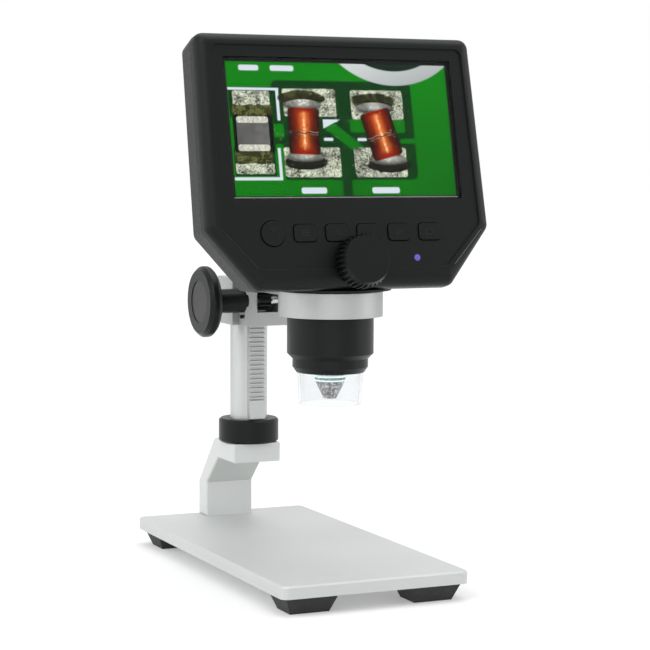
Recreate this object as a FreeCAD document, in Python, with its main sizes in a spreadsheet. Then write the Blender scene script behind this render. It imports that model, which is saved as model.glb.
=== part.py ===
import FreeCAD, Part
import math
import os
import Sketcher

# A hand-size microscope with its own screen, on a rack and pinion stand. Millimetres.
# Origin: middle of the stand on the table. +Z up, the screen faces -Y, +X to the viewer's right.

Vector = FreeCAD.Vector

# Driving dimensions

DIMENSIONS = {
    # fits
    "loose_fit": 0.12,
    "running_gap": 0.08,
    "slide_gap": 0.08,
    "hub_gap": 0.3,
    "mesh_gap": 0.12,
    # base plate, feet and bracket
    "plate_width": 80.0,
    "plate_depth": 165.0,
    "plate_thick": 5.0,
    "plate_corner": 3.0,
    "plate_edge": 0.6,
    "foot_height": 7.0,
    "foot_wide": 22.0,
    "foot_long": 18.0,
    "foot_taper": 22.0,
    "foot_inset": 2.5,
    "bracket_width": 22.0,
    "bracket_leg": 9.5,
    "bracket_setback": 1.0,
    "bracket_top": 48.6,
    "bracket_block": 8.2,
    "bracket_nose": 1.7,
    "bracket_slope_top": 13.6,
    "bracket_slope_low": 9.0,
    "bracket_knee": 27.3,
    "bracket_edge": 0.5,
    "screw_radius": 1.6,
    "screw_head": 3.2,
    "screw_sink": 1.8,
    "screw_length": 9.0,
    # column, lock nut and rack
    "column_y": 49.2,
    "column_radius": 8.1,
    "column_height": 166.0,
    "column_bolt": 2.5,
    "column_bolt_head": 4.2,
    "column_bolt_sink": 4.0,
    "column_bolt_depth": 9.0,
    "cap_height": 1.6,
    "cap_edge": 0.6,
    "nut_wall": 5.0,
    "nut_height": 10.4,
    "nut_edge": 0.8,
    "rack_pitch": 2.0,
    "rack_teeth": 44.0,
    "rack_width": 7.0,
    "rack_proud": 2.4,
    "rack_bed": 1.4,
    "rack_rise": 0.4,
    "rack_clear": 0.3,
    "rack_tooth_height": 1.3,
    "rack_first_tooth": 68.6,
    "tooth_bite": 0.3,
    # height drive
    "pinion_teeth": 12.0,
    "pinion_width": 6.0,
    "pinion_x": 0.7,
    "drive_z": 111.6,
    "shaft_radius": 2.3,
    "clip_radius": 4.2,
    "clip_thick": 1.0,
    "clip_end": 0.6,
    "knob_radius": 15.2,
    "knob_thick": 5.6,
    "knob_face_x": 28.6,
    "knob_hub": 7.2,
    "knob_rim": 1.6,
    "knob_cap_radius": 9.0,
    "knob_cap_depth": 1.8,
    "cap_sink": 0.3,
    "hub_radius": 5.2,
    "sleeve_radius": 5.2,
    "spigot_radius": 3.6,
    "spigot_length": 1.5,
    # carriage, arm and ring
    "carriage_wall": 2.7,
    "carriage_reach": 8.1,
    "carriage_back_wall": 3.7,
    "carriage_low": 100.6,
    "carriage_top": 121.0,
    "carriage_round": 3.0,
    "cheek_out": 8.4,
    "cheek_far": 11.8,
    "cheek_deep": 8.4,
    "slot_left": 2.7,
    "slot_right": 7.4,
    "slot_half": 5.2,
    "drag_screw": 2.0,
    "drag_pad": 2.0,
    "arm_half": 8.0,
    "arm_low": 116.6,
    "ring_wall": 3.6,
    "ring_low": 110.4,
    "ring_top": 120.4,
    "ring_screw": 1.6,
    "lug_deep": 3.0,
    "lens_y": 37.0,
    # barrel, light ring and snoot
    "barrel_radius": 17.4,
    "barrel_low": 95.4,
    "barrel_rise": 0.2,
    "barrel_bevel": 1.9,
    "nose_step": 2.2,
    "nose_low": 90.0,
    "lip_slope": 1.5,
    "lip_low": 87.8,
    "guide_radius": 8.6,
    "guide_low": 104.0,
    "post_place": 7.6,
    "post_radius": 1.2,
    "light_top": 93.0,
    "board_thick": 1.2,
    "led_count": 8.0,
    "led_circle": 9.6,
    "led_radius": 1.3,
    "led_height": 1.0,
    "cone_low": 77.1,
    "cone_top": 84.4,
    "cone_radius": 6.2,
    "cone_mouth": 2.0,
    "cone_tip": 2.6,
    "cone_seat": 2.4,
    "snoot_step": 0.3,
    "snoot_draft": 0.8,
    "snoot_low": 75.0,
    "snoot_wall": 1.1,
    "snoot_skirt": 0.6,
    "snoot_seat": 92.7,
    # lens, sensor and focus drive
    "lens_radius": 6.4,
    "lens_inset": 3.0,
    "lens_thick": 3.0,
    "lens_crown": 1.0,
    "carrier_low": 98.0,
    "carrier_top": 134.0,
    "sensor_half": 9.5,
    "sensor_z": 148.0,
    "chip_half": 3.2,
    "chip_thick": 1.0,
    "wheel_v": 53.5,
    "wheel_x": 0.8,
    "wheel_radius": 10.6,
    "wheel_face_radius": 9.2,
    "wheel_thick": 8.0,
    "wheel_teeth": 32.0,
    "wheel_gap": 0.3,
    "wheel_groove": 0.9,
    "wheel_bevel_start": 6.0,
    "focus_shaft_radius": 1.0,
    "focus_depth": 14.0,
    "focus_teeth": 8.0,
    "focus_pitch": 1.5,
    "focus_tooth_height": 0.9,
    "focus_gear_wide": 3.4,
    "focus_gear_near": 9.6,
    "focus_bar": 1.6,
    "focus_foot": 5.0,
    "focus_foot_high": 6.0,
    "focus_foot_in": 3.0,
    # screen head: face and bezel
    "face_y": 50.3,
    "face_z": 185.05,
    "tilt": 12.75,
    "head_top": 38.0,
    "head_top_half": 59.4,
    "head_side_half": 60.8,
    "head_side_low": 39.7,
    "head_low": 63.0,
    "head_low_half": 41.7,
    "head_thick": 20.0,
    "head_wall": 2.2,
    "head_draft": 5.0,
    "head_floor": 121.8,
    "head_corner": 4.0,
    "head_roll": 5.0,
    "bezel_depth": 8.0,
    "face_inside": 2.6,
    "frame_step": 5.2,
    "frame_low_step": 7.6,
    "frame_sink": 0.6,
    "frame_corner": 3.0,
    # screen head: back, bulge and screws
    "collar_rim": 3.3,
    "collar_low": 120.9,
    "hump_half": 27.0,
    "hump_back": 3.0,
    "hump_top": 188.0,
    "hump_corner": 9.0,
    "hump_slope": 9.0,
    "hump_round": 4.0,
    "back_round": 1.5,
    "boss_x": 54.2,
    "boss_high": 32.4,
    "boss_low": 37.0,
    "boss_radius": 2.6,
    "boss_head": 1.9,
    "boss_sink": 1.8,
    "boss_head_thick": 1.3,
    "boss_floor": 1.0,
    "screw_pilot": 1.0,
    "screw_bite": 4.0,
    "hatch_z": 160.0,
    "hatch_half_wide": 19.0,
    "hatch_half_high": 15.0,
    "hatch_corner": 2.0,
    "hatch_screw_in": 3.0,
    "usb_v": -4.0,
    "usb_half": 4.0,
    "usb_deep": 5.5,
    "card_v": 14.0,
    "card_half": 6.5,
    "card_deep": 12.0,
    "port_w": 13.0,
    "port_half": 1.6,
    "port_in": 0.8,
    "port_wall": 0.4,
    # screen, boards and battery
    "screen_half_wide": 47.55,
    "screen_half_high": 26.6,
    "glass_border": 1.6,
    "glass_thick": 1.2,
    "glass_in": 0.6,
    "window_corner": 0.8,
    "panel_half": 51.2,
    "panel_low": 33.0,
    "panel_high": 29.5,
    "panel_thick": 3.0,
    "board_gap": 0.3,
    "board_inset": 1.0,
    "battery_half_wide": 17.0,
    "battery_half_high": 13.0,
    "battery_thick": 6.0,
    # keys and indicator
    "button_v": 41.5,
    "button_pitch": 13.43,
    "button_first": 34.3,
    "button_wide": 9.4,
    "button_high": 6.6,
    "button_round": 4.9,
    "button_corner": 1.6,
    "button_gap": 0.3,
    "button_proud": 0.5,
    "key_flange": 0.8,
    "key_lip": 0.8,
    "key_room": 0.6,
    "switch_high": 1.2,
    "switch_half": 2.2,
    "led_x": 26.6,
    "led_v": 51.8,
    "led_lens": 1.3,
    "led_deep": 1.0,
}

# Proportions and names

TOOTH_TIP = 0.34             # a tooth's width at its tip, in pitches
TOOTH_ROOT = 0.52            # and at its root
HALF_PITCH = 0.5
FOCUS_RACK_TEETH = 5
RIDGE_TIP = 0.3              # a wheel ridge's width at its tip, in pitches
RIDGE_ROOT = 0.55
RIM_ROUND = 0.8              # rounding of the height knob's rim, as a share of its slope
SOCKET_SHARE = 0.55          # a headless screw's socket, as a share of its radius
CROWN_PLACE = 0.6            # where the lens's curve is stepped, as a share of its radius
CROWN_SHARE = 0.7            # how much of the crown is left there
CORNER_IN = 0.45             # how far the face's lower corners move in with an inset, as a share
CORNER_UP = 0.2              # and its side corners up
HALF_TURN = 180
FULL_TURN = 360
SAME = 1e-3                  # two levels count as one within this
STRAIGHT = 0.9               # least share of an edge's direction for it to run along an axis
KEY_NAMES = ["power_key", "menu_key", "left_key", "ok_key", "right_key", "shutter_key"]

doc = FreeCAD.newDocument("digital_microscope")
sheet = doc.addObject("Spreadsheet::Sheet", "Sizes")
for row, (alias, number) in enumerate(DIMENSIONS.items(), start=1):
    sheet.set("A%d" % row, alias)
    sheet.set("B%d" % row, str(number))
    sheet.setAlias("B%d" % row, alias)
doc.recompute()


class Size:
    """A length or angle that carries its number and the sheet formula behind it."""

    def __init__(self, number, formula=None):
        self.number = float(number)
        self.formula = formula if formula is not None else "(%.6f)" % float(number)

    def join(self, other, sign, number):
        other = as_size(other)
        return Size(number(self.number, other.number), "(%s %s %s)" % (self.formula, sign, other.formula))

    def __add__(self, other):
        return self.join(other, "+", lambda a, b: a + b)

    def __sub__(self, other):
        return self.join(other, "-", lambda a, b: a - b)

    def __mul__(self, other):
        return self.join(other, "*", lambda a, b: a * b)

    def __truediv__(self, other):
        return self.join(other, "/", lambda a, b: a / b)

    def __neg__(self):
        return Size(0) - self

    def __radd__(self, other):
        return as_size(other) + self

    def __rsub__(self, other):
        return as_size(other) - self

    def __rmul__(self, other):
        return as_size(other) * self


def as_size(value):
    return value if isinstance(value, Size) else Size(value)


class Sheet:
    """Reads a driving dimension by its alias."""

    def __getattr__(self, alias):
        return Size(sheet.get(alias), "Sizes." + alias)


D = Sheet()


def cosine(angle):
    return Size(math.cos(math.radians(angle.number)), "cos(%s)" % angle.formula)


def sine(angle):
    return Size(math.sin(math.radians(angle.number)), "sin(%s)" % angle.formula)


def bind(thing, name, value):
    thing.setExpression(name, as_size(value).formula)


# Where pieces sit

class Frame:
    """A place and a turn about X, as one placement formula."""

    def __init__(self, x=0, y=0, z=0, turn_x=0):
        self.base = [as_size(v) for v in (x, y, z)]
        self.turn = as_size(turn_x)

    def formula(self, offset=(0, 0, 0), axis=None):
        base = "vector(%s; %s; %s)" % tuple(v.formula for v in self.base)
        turn = "rotation(vector(1; 0; 0); %s)" % self.turn.formula
        shift = "vector(%s; %s; %s)" % tuple(as_size(v).formula for v in offset)
        whole = turn
        if axis is not None:
            whole = "%s * rotation(vector(%g; %g; %g); %g)" % ((turn,) + axis)
        return "placement(%s + %s * %s; %s)" % (base, turn, shift, whole)


WORLD = Frame()
# the head leans back: its own -Y looks out of the screen and its +Z runs up the screen
HEAD = Frame(0, -D.face_y, D.face_z, -D.tilt)

ALONG_X = (0, 1, 0, 90)
ALONG_Y = (1, 0, 0, -90)
ALONG_Z = None

nodes = {}


def keep(label, thing):
    """Gives a finished sub-part its label."""
    thing.Label = label
    nodes[label] = thing
    return thing


def box(low, high, frame=WORLD):
    """A block between two opposite corners."""
    low = [as_size(v) for v in low]
    high = [as_size(v) for v in high]
    block = doc.addObject("Part::Box", "Block")
    for name, a, b in zip(("Length", "Width", "Height"), low, high):
        bind(block, name, b - a)
    block.setExpression("Placement", frame.formula(low))
    return block


def rod(radius, length, start, axis=ALONG_Z, frame=WORLD):
    """A cylinder from its start point along one axis."""
    cylinder = doc.addObject("Part::Cylinder", "Rod")
    bind(cylinder, "Radius", radius)
    bind(cylinder, "Height", length)
    cylinder.setExpression("Placement", frame.formula(start, axis))
    return cylinder


def cone(radius1, radius2, length, start, axis=ALONG_Z, frame=WORLD):
    """A truncated cone from its start point along one axis."""
    solid = doc.addObject("Part::Cone", "Cone")
    bind(solid, "Radius1", radius1)
    bind(solid, "Radius2", radius2)
    bind(solid, "Height", length)
    solid.setExpression("Placement", frame.formula(start, axis))
    return solid


def fuse(*things):
    joined = doc.addObject("Part::MultiFuse", "Fuse")
    joined.Shapes = list(things)
    joined.Refine = True
    return joined


def cut(base, *tools):
    """Takes tools away from a base."""
    tool = tools[0] if len(tools) == 1 else fuse(*tools)
    left = doc.addObject("Part::Cut", "Cut")
    left.Base = base
    left.Tool = tool
    left.Refine = True
    return left


def common(one, other):
    shared = doc.addObject("Part::Common", "Common")
    shared.Base = one
    shared.Tool = other
    return shared


def group(things):
    """Keeps several solids apart in one sub-part."""
    solids = doc.addObject("Part::Compound", "Group")
    solids.Links = things
    return solids


# Sketched bodies

def body_with_frame(frame=WORLD, offset=(0, 0, 0)):
    body = doc.addObject("PartDesign::Body", "Body")
    body.setExpression("Placement", frame.formula(offset))
    return body


def sketch_on(body, plane, lift=0):
    """An empty sketch on one of the body's own origin planes, lifted along the plane's normal."""
    face = [f for f in body.Origin.OriginFeatures if f.Role == plane + "_Plane"][0]
    sketch = body.newObject("Sketcher::SketchObject", "Sketch")
    sketch.AttachmentSupport = (face, [""])
    sketch.MapMode = "FlatFace"
    bind(sketch, "AttachmentOffset.Base.z", lift)
    return sketch


def outline(sketch, points):
    """A closed run of straight lines whose every corner is tied to the sheet."""
    points = [(as_size(a), as_size(b)) for a, b in points]
    count = len(points)
    first = sketch.GeometryCount
    corners = [Vector(a.number, b.number) for a, b in points]
    sketch.addGeometry([Part.LineSegment(corners[i], corners[(i + 1) % count]) for i in range(count)])
    ties = [Sketcher.Constraint("Coincident", first + i, 2, first + (i + 1) % count, 1)
            for i in range(count)]
    values = []
    for i, point in enumerate(points):
        for kind, value in zip(("DistanceX", "DistanceY"), point):
            ties.append(Sketcher.Constraint(kind, first + i, 1, value.number))
            values.append(value)
    start = sketch.ConstraintCount + count
    sketch.addConstraint(ties)
    for i, value in enumerate(values):
        bind(sketch, "Constraints[%d]" % (start + i), value)


def disc(sketch, x, y, radius):
    """A circle whose centre and radius are tied to the sheet."""
    x, y, radius = as_size(x), as_size(y), as_size(radius)
    number = sketch.addGeometry(Part.Circle(Vector(x.number, y.number), Vector(0, 0, 1), radius.number))
    for kind, value in (("DistanceX", x), ("DistanceY", y)):
        index = sketch.addConstraint(Sketcher.Constraint(kind, number, 3, value.number))
        bind(sketch, "Constraints[%d]" % index, value)
    index = sketch.addConstraint(Sketcher.Constraint("Radius", number, radius.number))
    bind(sketch, "Constraints[%d]" % index, radius)


def pad(body, sketch, length, reverse=False, midplane=False, taper=None):
    feature = body.newObject("PartDesign::Pad", "Pad")
    feature.Profile = sketch
    bind(feature, "Length", length)
    feature.Reversed = reverse
    if midplane:
        feature.SideType = "Symmetric"
    if taper is not None:
        bind(feature, "TaperAngle", taper)
    return feature


def repeat_along(body, feature, axis, spacing, count):
    """Repeats a feature along one of the body's own axes."""
    pattern = body.newObject("PartDesign::LinearPattern", "LinearPattern")
    pattern.Originals = [feature]
    pattern.Direction = (origin_axis(body, axis), [""])
    bind(pattern, "Length", spacing * (count - 1))
    bind(pattern, "Occurrences", count)
    body.Tip = pattern


def repeat_round(body, feature, axis, count):
    """Repeats a feature round one of the body's own axes."""
    pattern = body.newObject("PartDesign::PolarPattern", "PolarPattern")
    pattern.Originals = [feature]
    pattern.Axis = (origin_axis(body, axis), [""])
    pattern.Angle = FULL_TURN
    bind(pattern, "Occurrences", count)
    body.Tip = pattern


def origin_axis(body, axis):
    return [f for f in body.Origin.OriginFeatures if f.Role == axis + "_Axis"][0]


def dress(body, kind, size, wanted):
    """A fillet or chamfer on each edge that the test picks."""
    doc.recompute()
    base = body.Tip
    names = []
    for number, edge in enumerate(base.Shape.Edges, start=1):
        halfway = (edge.FirstParameter + edge.LastParameter) / 2
        middle = edge.valueAt(halfway)
        along = edge.tangentAt(halfway)
        if wanted(edge, middle, along):
            names.append("Edge%d" % number)
    feature = body.newObject("PartDesign::" + kind, kind)
    feature.Base = (base, names)
    bind(feature, "Radius" if kind == "Fillet" else "Size", size)


def turned(points, frame=WORLD, offset=(0, 0, 0)):
    """A body of revolution about its own Z from an outline of radius and height."""
    body = body_with_frame(frame, offset)
    sketch = sketch_on(body, "XZ")
    outline(sketch, points)
    feature = body.newObject("PartDesign::Revolution", "Revolution")
    feature.Profile = sketch
    feature.ReferenceAxis = (sketch, ["V_Axis"])
    feature.Angle = FULL_TURN
    return body


def upright(edge, middle, along):
    return abs(along.z) > STRAIGHT


# Shared levels and places

plate_low = D.foot_height
plate_top = D.foot_height + D.plate_thick
plate_front = -(D.plate_depth / 2)
plate_back = D.plate_depth / 2
column_front = D.column_y - D.column_radius
rack_face = column_front - D.rack_proud
pinion_pitch_radius = D.pinion_teeth * D.rack_pitch / (2 * math.pi)
drive_y = rack_face + D.rack_tooth_height / 2 - pinion_pitch_radius
carriage_half = D.column_radius + D.carriage_wall
carriage_front = column_front - D.carriage_reach
carriage_back = D.column_y + D.column_radius + D.carriage_back_wall
nut_radius = D.column_radius + D.nut_wall
lens_y = -D.lens_y
ring_radius = D.barrel_radius + D.ring_wall
barrel_top = D.head_floor + D.head_wall + D.barrel_rise
collar_radius = ring_radius + D.collar_rim
nose_radius = D.barrel_radius - D.nose_step
lip_radius = nose_radius - D.lip_slope
snoot_radius = lip_radius - D.snoot_step
snoot_mouth = snoot_radius - D.snoot_draft
block_low = D.bracket_top - D.bracket_block
column_top = D.column_height
rack_low = D.bracket_top + D.nut_height + D.rack_rise
rack_first = D.rack_first_tooth
drag_z = (D.carriage_low + D.carriage_top) / 2
ring_screw_z = (D.ring_low + D.arm_low) / 2
hump_y = lens_y + D.barrel_radius + D.hump_back
hatch_screw_z = D.hatch_z + D.hatch_half_high - D.hatch_screw_in


# Stand

def screw_places():
    """The two screws that hold the bracket's leg to the plate."""
    y = plate_back - D.bracket_setback - D.bracket_leg / 2
    return [(side * D.bracket_width / 4, y) for side in (-1, 1)]


def base_plate():
    body = body_with_frame(WORLD, (0, 0, plate_low))
    sketch = sketch_on(body, "XY")
    half = D.plate_width / 2
    outline(sketch, [(-half, plate_front), (half, plate_front), (half, plate_back), (-half, plate_back)])
    pad(body, sketch, D.plate_thick)
    dress(body, "Fillet", D.plate_corner, upright)
    top = D.plate_thick.number
    dress(body, "Chamfer", D.plate_edge, lambda edge, middle, along: abs(middle.z - top) < SAME)
    holes = []
    for x, y in screw_places():
        holes.append(cone(D.screw_head + D.loose_fit, D.screw_radius + D.loose_fit, D.screw_sink,
                          (x, y, plate_low)))
        holes.append(rod(D.screw_radius + D.loose_fit, D.plate_thick, (x, y, plate_low)))
    keep("base_plate", cut(body, *holes))


def base_screws():
    screws = []
    for x, y in screw_places():
        head = cone(D.screw_head, D.screw_radius, D.screw_sink, (x, y, plate_low))
        shank = rod(D.screw_radius, D.screw_length, (x, y, plate_low + D.screw_sink / 2))
        screws.append(fuse(head, shank))
    keep("base_screws", group(screws))


def rubber_feet():
    feet = []
    for side in (-1, 1):
        for end in (-1, 1):
            x = side * (D.plate_width / 2 - D.foot_inset - D.foot_wide / 2)
            y = end * (D.plate_depth / 2 - D.foot_inset - D.foot_long / 2)
            body = body_with_frame(WORLD, (x, y, plate_low))
            sketch = sketch_on(body, "XY")
            a, b = D.foot_wide / 2, D.foot_long / 2
            outline(sketch, [(-a, -b), (a, -b), (a, b), (-a, b)])
            pad(body, sketch, D.foot_height, reverse=True, taper=-D.foot_taper)
            feet.append(body)
    keep("rubber_feet", group(feet))


def bracket():
    """One bent bar: a block under the column, a slope and a leg on the plate's back edge."""
    body = body_with_frame()
    sketch = sketch_on(body, "YZ")
    back = plate_back - D.bracket_setback
    front = column_front - D.bracket_nose
    leg = back - D.bracket_leg
    outline(sketch, [
        (front, block_low),
        (D.column_y + D.bracket_slope_low, block_low),
        (leg, D.bracket_knee),
        (leg, plate_top),
        (back, plate_top),
        (back, D.bracket_knee),
        (D.column_y + D.bracket_slope_top, D.bracket_top),
        (front, D.bracket_top),
    ])
    pad(body, sketch, D.bracket_width, midplane=True)
    dress(body, "Chamfer", D.bracket_edge, lambda edge, middle, along: abs(along.x) < SAME)
    holes = [rod(D.screw_radius + D.loose_fit, D.screw_length, (x, y, plate_low + D.screw_sink / 2))
             for x, y in screw_places()]
    holes.append(rod(D.column_bolt + D.loose_fit, D.bracket_block, (0, D.column_y, block_low)))
    holes.append(rod(D.column_bolt_head + D.loose_fit, D.column_bolt_sink, (0, D.column_y, block_low)))
    keep("bracket", cut(body, *holes))


def column():
    """A round tube with a flat milled along its front for the rack."""
    tube = rod(D.column_radius, column_top - D.bracket_top, (0, D.column_y, D.bracket_top))
    flat = box((-D.rack_width / 2, column_front - D.loose_fit, rack_low),
               (D.rack_width / 2, column_front + D.rack_bed, column_top))
    thread = rod(D.column_bolt, D.column_bolt_depth, (0, D.column_y, D.bracket_top))
    keep("column", cut(tube, flat, thread))


def column_bolt():
    """The bolt from under the bracket into the column's foot."""
    head = rod(D.column_bolt_head, D.column_bolt_sink, (0, D.column_y, block_low))
    shank_low = block_low + D.column_bolt_sink
    shank = rod(D.column_bolt - D.loose_fit, D.bracket_top + D.column_bolt_depth - shank_low,
                (0, D.column_y, shank_low))
    keep("column_bolt", fuse(head, shank))


def column_cap():
    """The plug that closes the column's top."""
    keep("column_cap", turned([
        (0, 0), (D.column_radius, 0), (D.column_radius, D.cap_height - D.cap_edge),
        (D.column_radius - D.cap_edge, D.cap_height), (0, D.cap_height),
    ], WORLD, (0, D.column_y, column_top)))


def lock_nut():
    """The black collar round the column's foot, with a chamfer at its top and bottom."""
    keep("lock_nut", turned([
        (D.column_radius + D.running_gap, 0), (nut_radius - D.nut_edge, 0), (nut_radius, D.nut_edge),
        (nut_radius, D.nut_height - D.nut_edge), (nut_radius - D.nut_edge, D.nut_height),
        (D.column_radius + D.running_gap, D.nut_height),
    ], WORLD, (0, D.column_y, D.bracket_top)))


def column_rack():
    """A bar let into the column's front, with square-cut teeth all the way up."""
    low = rack_low - rack_first
    root = rack_face + D.rack_tooth_height
    bed = column_front + D.rack_bed
    body = body_with_frame(WORLD, (0, 0, rack_first))
    bar = sketch_on(body, "YZ")
    plain_top = -D.rack_pitch / 2
    outline(bar, [(bed, low), (rack_face, low), (rack_face, plain_top),
                  (root, plain_top), (root, column_top - rack_first), (bed, column_top - rack_first)])
    pad(body, bar, D.rack_width, midplane=True)
    tooth = sketch_on(body, "YZ")
    tip_half = D.rack_pitch * TOOTH_TIP / 2
    root_half = D.rack_pitch * TOOTH_ROOT / 2
    sunk = root + D.tooth_bite
    outline(tooth, [(sunk, -root_half), (root, -root_half), (rack_face, -tip_half), (rack_face, tip_half),
                    (root, root_half), (sunk, root_half)])
    one = pad(body, tooth, D.rack_width, midplane=True)
    repeat_along(body, one, "Z", D.rack_pitch, D.rack_teeth)
    keep("column_rack", body)


def gear(teeth, pitch, height, width, bore, phase):
    """A spur gear about its own Z, with straight-sided teeth; phase turns it in tooth pitches."""
    radius = teeth * pitch / (2 * math.pi)
    outer = radius + height / 2 - D.mesh_gap
    inner = radius - height / 2 - D.mesh_gap
    body = body_with_frame()
    blank = sketch_on(body, "XY")
    disc(blank, 0, 0, inner)
    disc(blank, 0, 0, bore)
    pad(body, blank, width)
    tooth = sketch_on(body, "XY")
    bind(tooth, "AttachmentOffset.Rotation.Angle", Size(FULL_TURN) * phase / teeth)
    tip = Size(HALF_TURN) * TOOTH_TIP / teeth
    root = Size(HALF_TURN) * TOOTH_ROOT / teeth
    sunk = (inner + bore) / 2
    outline(tooth, [(sunk, -inner * sine(root)), (inner * cosine(root), -inner * sine(root)),
                    (outer * cosine(tip), -outer * sine(tip)), (outer * cosine(tip), outer * sine(tip)),
                    (inner * cosine(root), inner * sine(root)), (sunk, inner * sine(root))])
    one = pad(body, tooth, width)
    repeat_round(body, one, "Z", teeth)
    return body


# Height drive: knob, shaft and pinion

def height_pinion():
    """A gear on the shaft, turned so that its teeth stand in the rack's gaps."""
    phase = (rack_first - D.drive_z) / D.rack_pitch + HALF_PITCH
    body = gear(D.pinion_teeth, D.rack_pitch, D.rack_tooth_height, D.pinion_width, D.shaft_radius,
                phase)
    turn = "rotation(vector(0; 1; 0); 90) * rotation(vector(0; 0; 1); 90)"
    start = (D.pinion_x - D.pinion_width / 2, drive_y, D.drive_z)
    place = "placement(vector(%s; %s; %s); %s)" % (tuple(v.formula for v in start) + (turn,))
    body.setExpression("Placement", place)
    keep("height_pinion", body)


def pinion_shaft():
    keep("pinion_shaft", rod(D.shaft_radius, D.knob_face_x - D.knob_cap_depth + D.cheek_far,
                             (-D.knob_face_x + D.knob_cap_depth, drive_y, D.drive_z), ALONG_X))


def shaft_clip():
    """The ring that keeps the shaft's far end from pulling out."""
    start = (D.cheek_far - D.clip_thick - D.clip_end, drive_y, D.drive_z)
    ring = rod(D.clip_radius, D.clip_thick, start, ALONG_X)
    hole = rod(D.shaft_radius, D.clip_thick, start, ALONG_X)
    keep("shaft_clip", cut(ring, hole))


def height_knob():
    """A round knob with a dished face, a rounded rim and a short hub towards the sleeve."""
    body = turned([
        (D.shaft_radius, D.knob_hub), (D.shaft_radius, D.knob_cap_depth),
        (D.knob_cap_radius, D.knob_cap_depth),
        (D.knob_cap_radius, 0), (D.knob_radius - D.knob_rim, 0), (D.knob_radius, D.knob_rim),
        (D.knob_radius, D.knob_thick - D.knob_rim), (D.knob_radius - D.knob_rim, D.knob_thick),
        (D.hub_radius, D.knob_thick), (D.hub_radius, D.knob_hub),
    ])
    widest = D.knob_radius.number
    rim = D.knob_rim.number
    dress(body, "Fillet", D.knob_rim * RIM_ROUND, lambda edge, middle, along:
          on_radius(edge, widest) or (on_radius(edge, widest - rim) and middle.z > rim))
    place = "placement(vector(%s; %s; %s); rotation(vector(0; 1; 0); 90))" % (
        (-D.knob_face_x).formula, drive_y.formula, D.drive_z.formula)
    body.setExpression("Placement", place)
    keep("height_knob", body)


def on_radius(edge, radius):
    curve = edge.Curve
    return isinstance(curve, Part.Circle) and abs(curve.Radius - radius) < SAME


def knob_cap():
    """The round plate that covers the shaft's end in the knob's face."""
    keep("knob_cap", rod(D.knob_cap_radius, D.knob_cap_depth - D.cap_sink,
                         (-D.knob_face_x + D.cap_sink, drive_y, D.drive_z), ALONG_X))


def bearing_sleeve():
    """The black sleeve between the knob and the carriage, which the shaft turns in."""
    start = -D.knob_face_x + D.knob_hub + D.hub_gap
    length = -D.cheek_out - start
    outer = rod(D.sleeve_radius, length, (start, drive_y, D.drive_z), ALONG_X)
    spigot = rod(D.spigot_radius, D.spigot_length, (-D.cheek_out, drive_y, D.drive_z), ALONG_X)
    hole = rod(D.shaft_radius + D.running_gap, length + D.spigot_length, (start, drive_y, D.drive_z),
               ALONG_X)
    keep("bearing_sleeve", cut(fuse(outer, spigot), hole))


# Carriage, arm and ring

def carriage():
    """The block that slides on the column, with a slot in its front for the pinion."""
    body = body_with_frame(WORLD, (0, 0, D.carriage_low))
    sketch = sketch_on(body, "XY")
    half, front, back = carriage_half, carriage_front, carriage_back
    shoulder = front + D.cheek_deep
    outline(sketch, [
        (-D.cheek_out, front), (D.cheek_far, front), (D.cheek_far, shoulder), (half, shoulder),
        (half, back), (-half, back), (-half, shoulder), (-D.cheek_out, shoulder),
    ])
    pad(body, sketch, D.carriage_top - D.carriage_low)
    dress(body, "Fillet", D.carriage_round, lambda edge, middle, along:
          upright(edge, middle, along) and abs(middle.y - back.number) < SAME)
    height = D.carriage_top - D.carriage_low
    bore = rod(D.column_radius + D.slide_gap, height, (0, D.column_y, D.carriage_low))
    rack_way = box((-D.rack_width / 2 - D.slide_gap, rack_face - D.rack_clear, D.carriage_low),
                   (D.rack_width / 2 + D.slide_gap, D.column_y, D.carriage_top))
    slot = box((-D.slot_left, front, D.drive_z - D.slot_half),
               (D.slot_right, D.column_y - D.column_radius / 2, D.drive_z + D.slot_half))
    shaft_way = rod(D.shaft_radius + D.running_gap, D.cheek_far + D.cheek_out,
                    (-D.cheek_out, drive_y, D.drive_z), ALONG_X)
    sleeve_seat = rod(D.spigot_radius, D.spigot_length, (-D.cheek_out, drive_y, D.drive_z), ALONG_X)
    clip_seat = rod(D.clip_radius + D.loose_fit, D.clip_thick + 2 * D.clip_end,
                    (D.cheek_far - D.clip_thick - 2 * D.clip_end, drive_y, D.drive_z), ALONG_X)
    screw_way = rod(D.drag_screw, back - D.column_y, (0, D.column_y, drag_z), ALONG_Y)
    keep("carriage", cut(body, bore, rack_way, slot, shaft_way, sleeve_seat, clip_seat, screw_way))


def drag_pad():
    """The pad that the screw at the back presses on the column, which sets how stiffly it slides."""
    start = D.column_y + D.column_radius + D.hub_gap
    keep("drag_pad", rod(D.drag_screw - D.loose_fit, D.drag_pad, (0, start, drag_z), ALONG_Y))


def drag_screw():
    start = D.column_y + D.column_radius + D.hub_gap + D.drag_pad
    screw = rod(D.drag_screw - D.loose_fit, carriage_back - start, (0, start, drag_z), ALONG_Y)
    socket = hexagon(D.drag_screw * SOCKET_SHARE, D.drag_pad, (0, carriage_back - D.drag_pad, drag_z))
    keep("drag_screw", cut(screw, socket))


def hexagon(radius, length, start):
    """A six-sided socket along Y."""
    prism = doc.addObject("Part::Prism", "Socket")
    prism.Polygon = 6
    bind(prism, "Circumradius", radius)
    bind(prism, "Height", length)
    prism.setExpression("Placement", WORLD.formula(start, ALONG_Y))
    return prism


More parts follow.
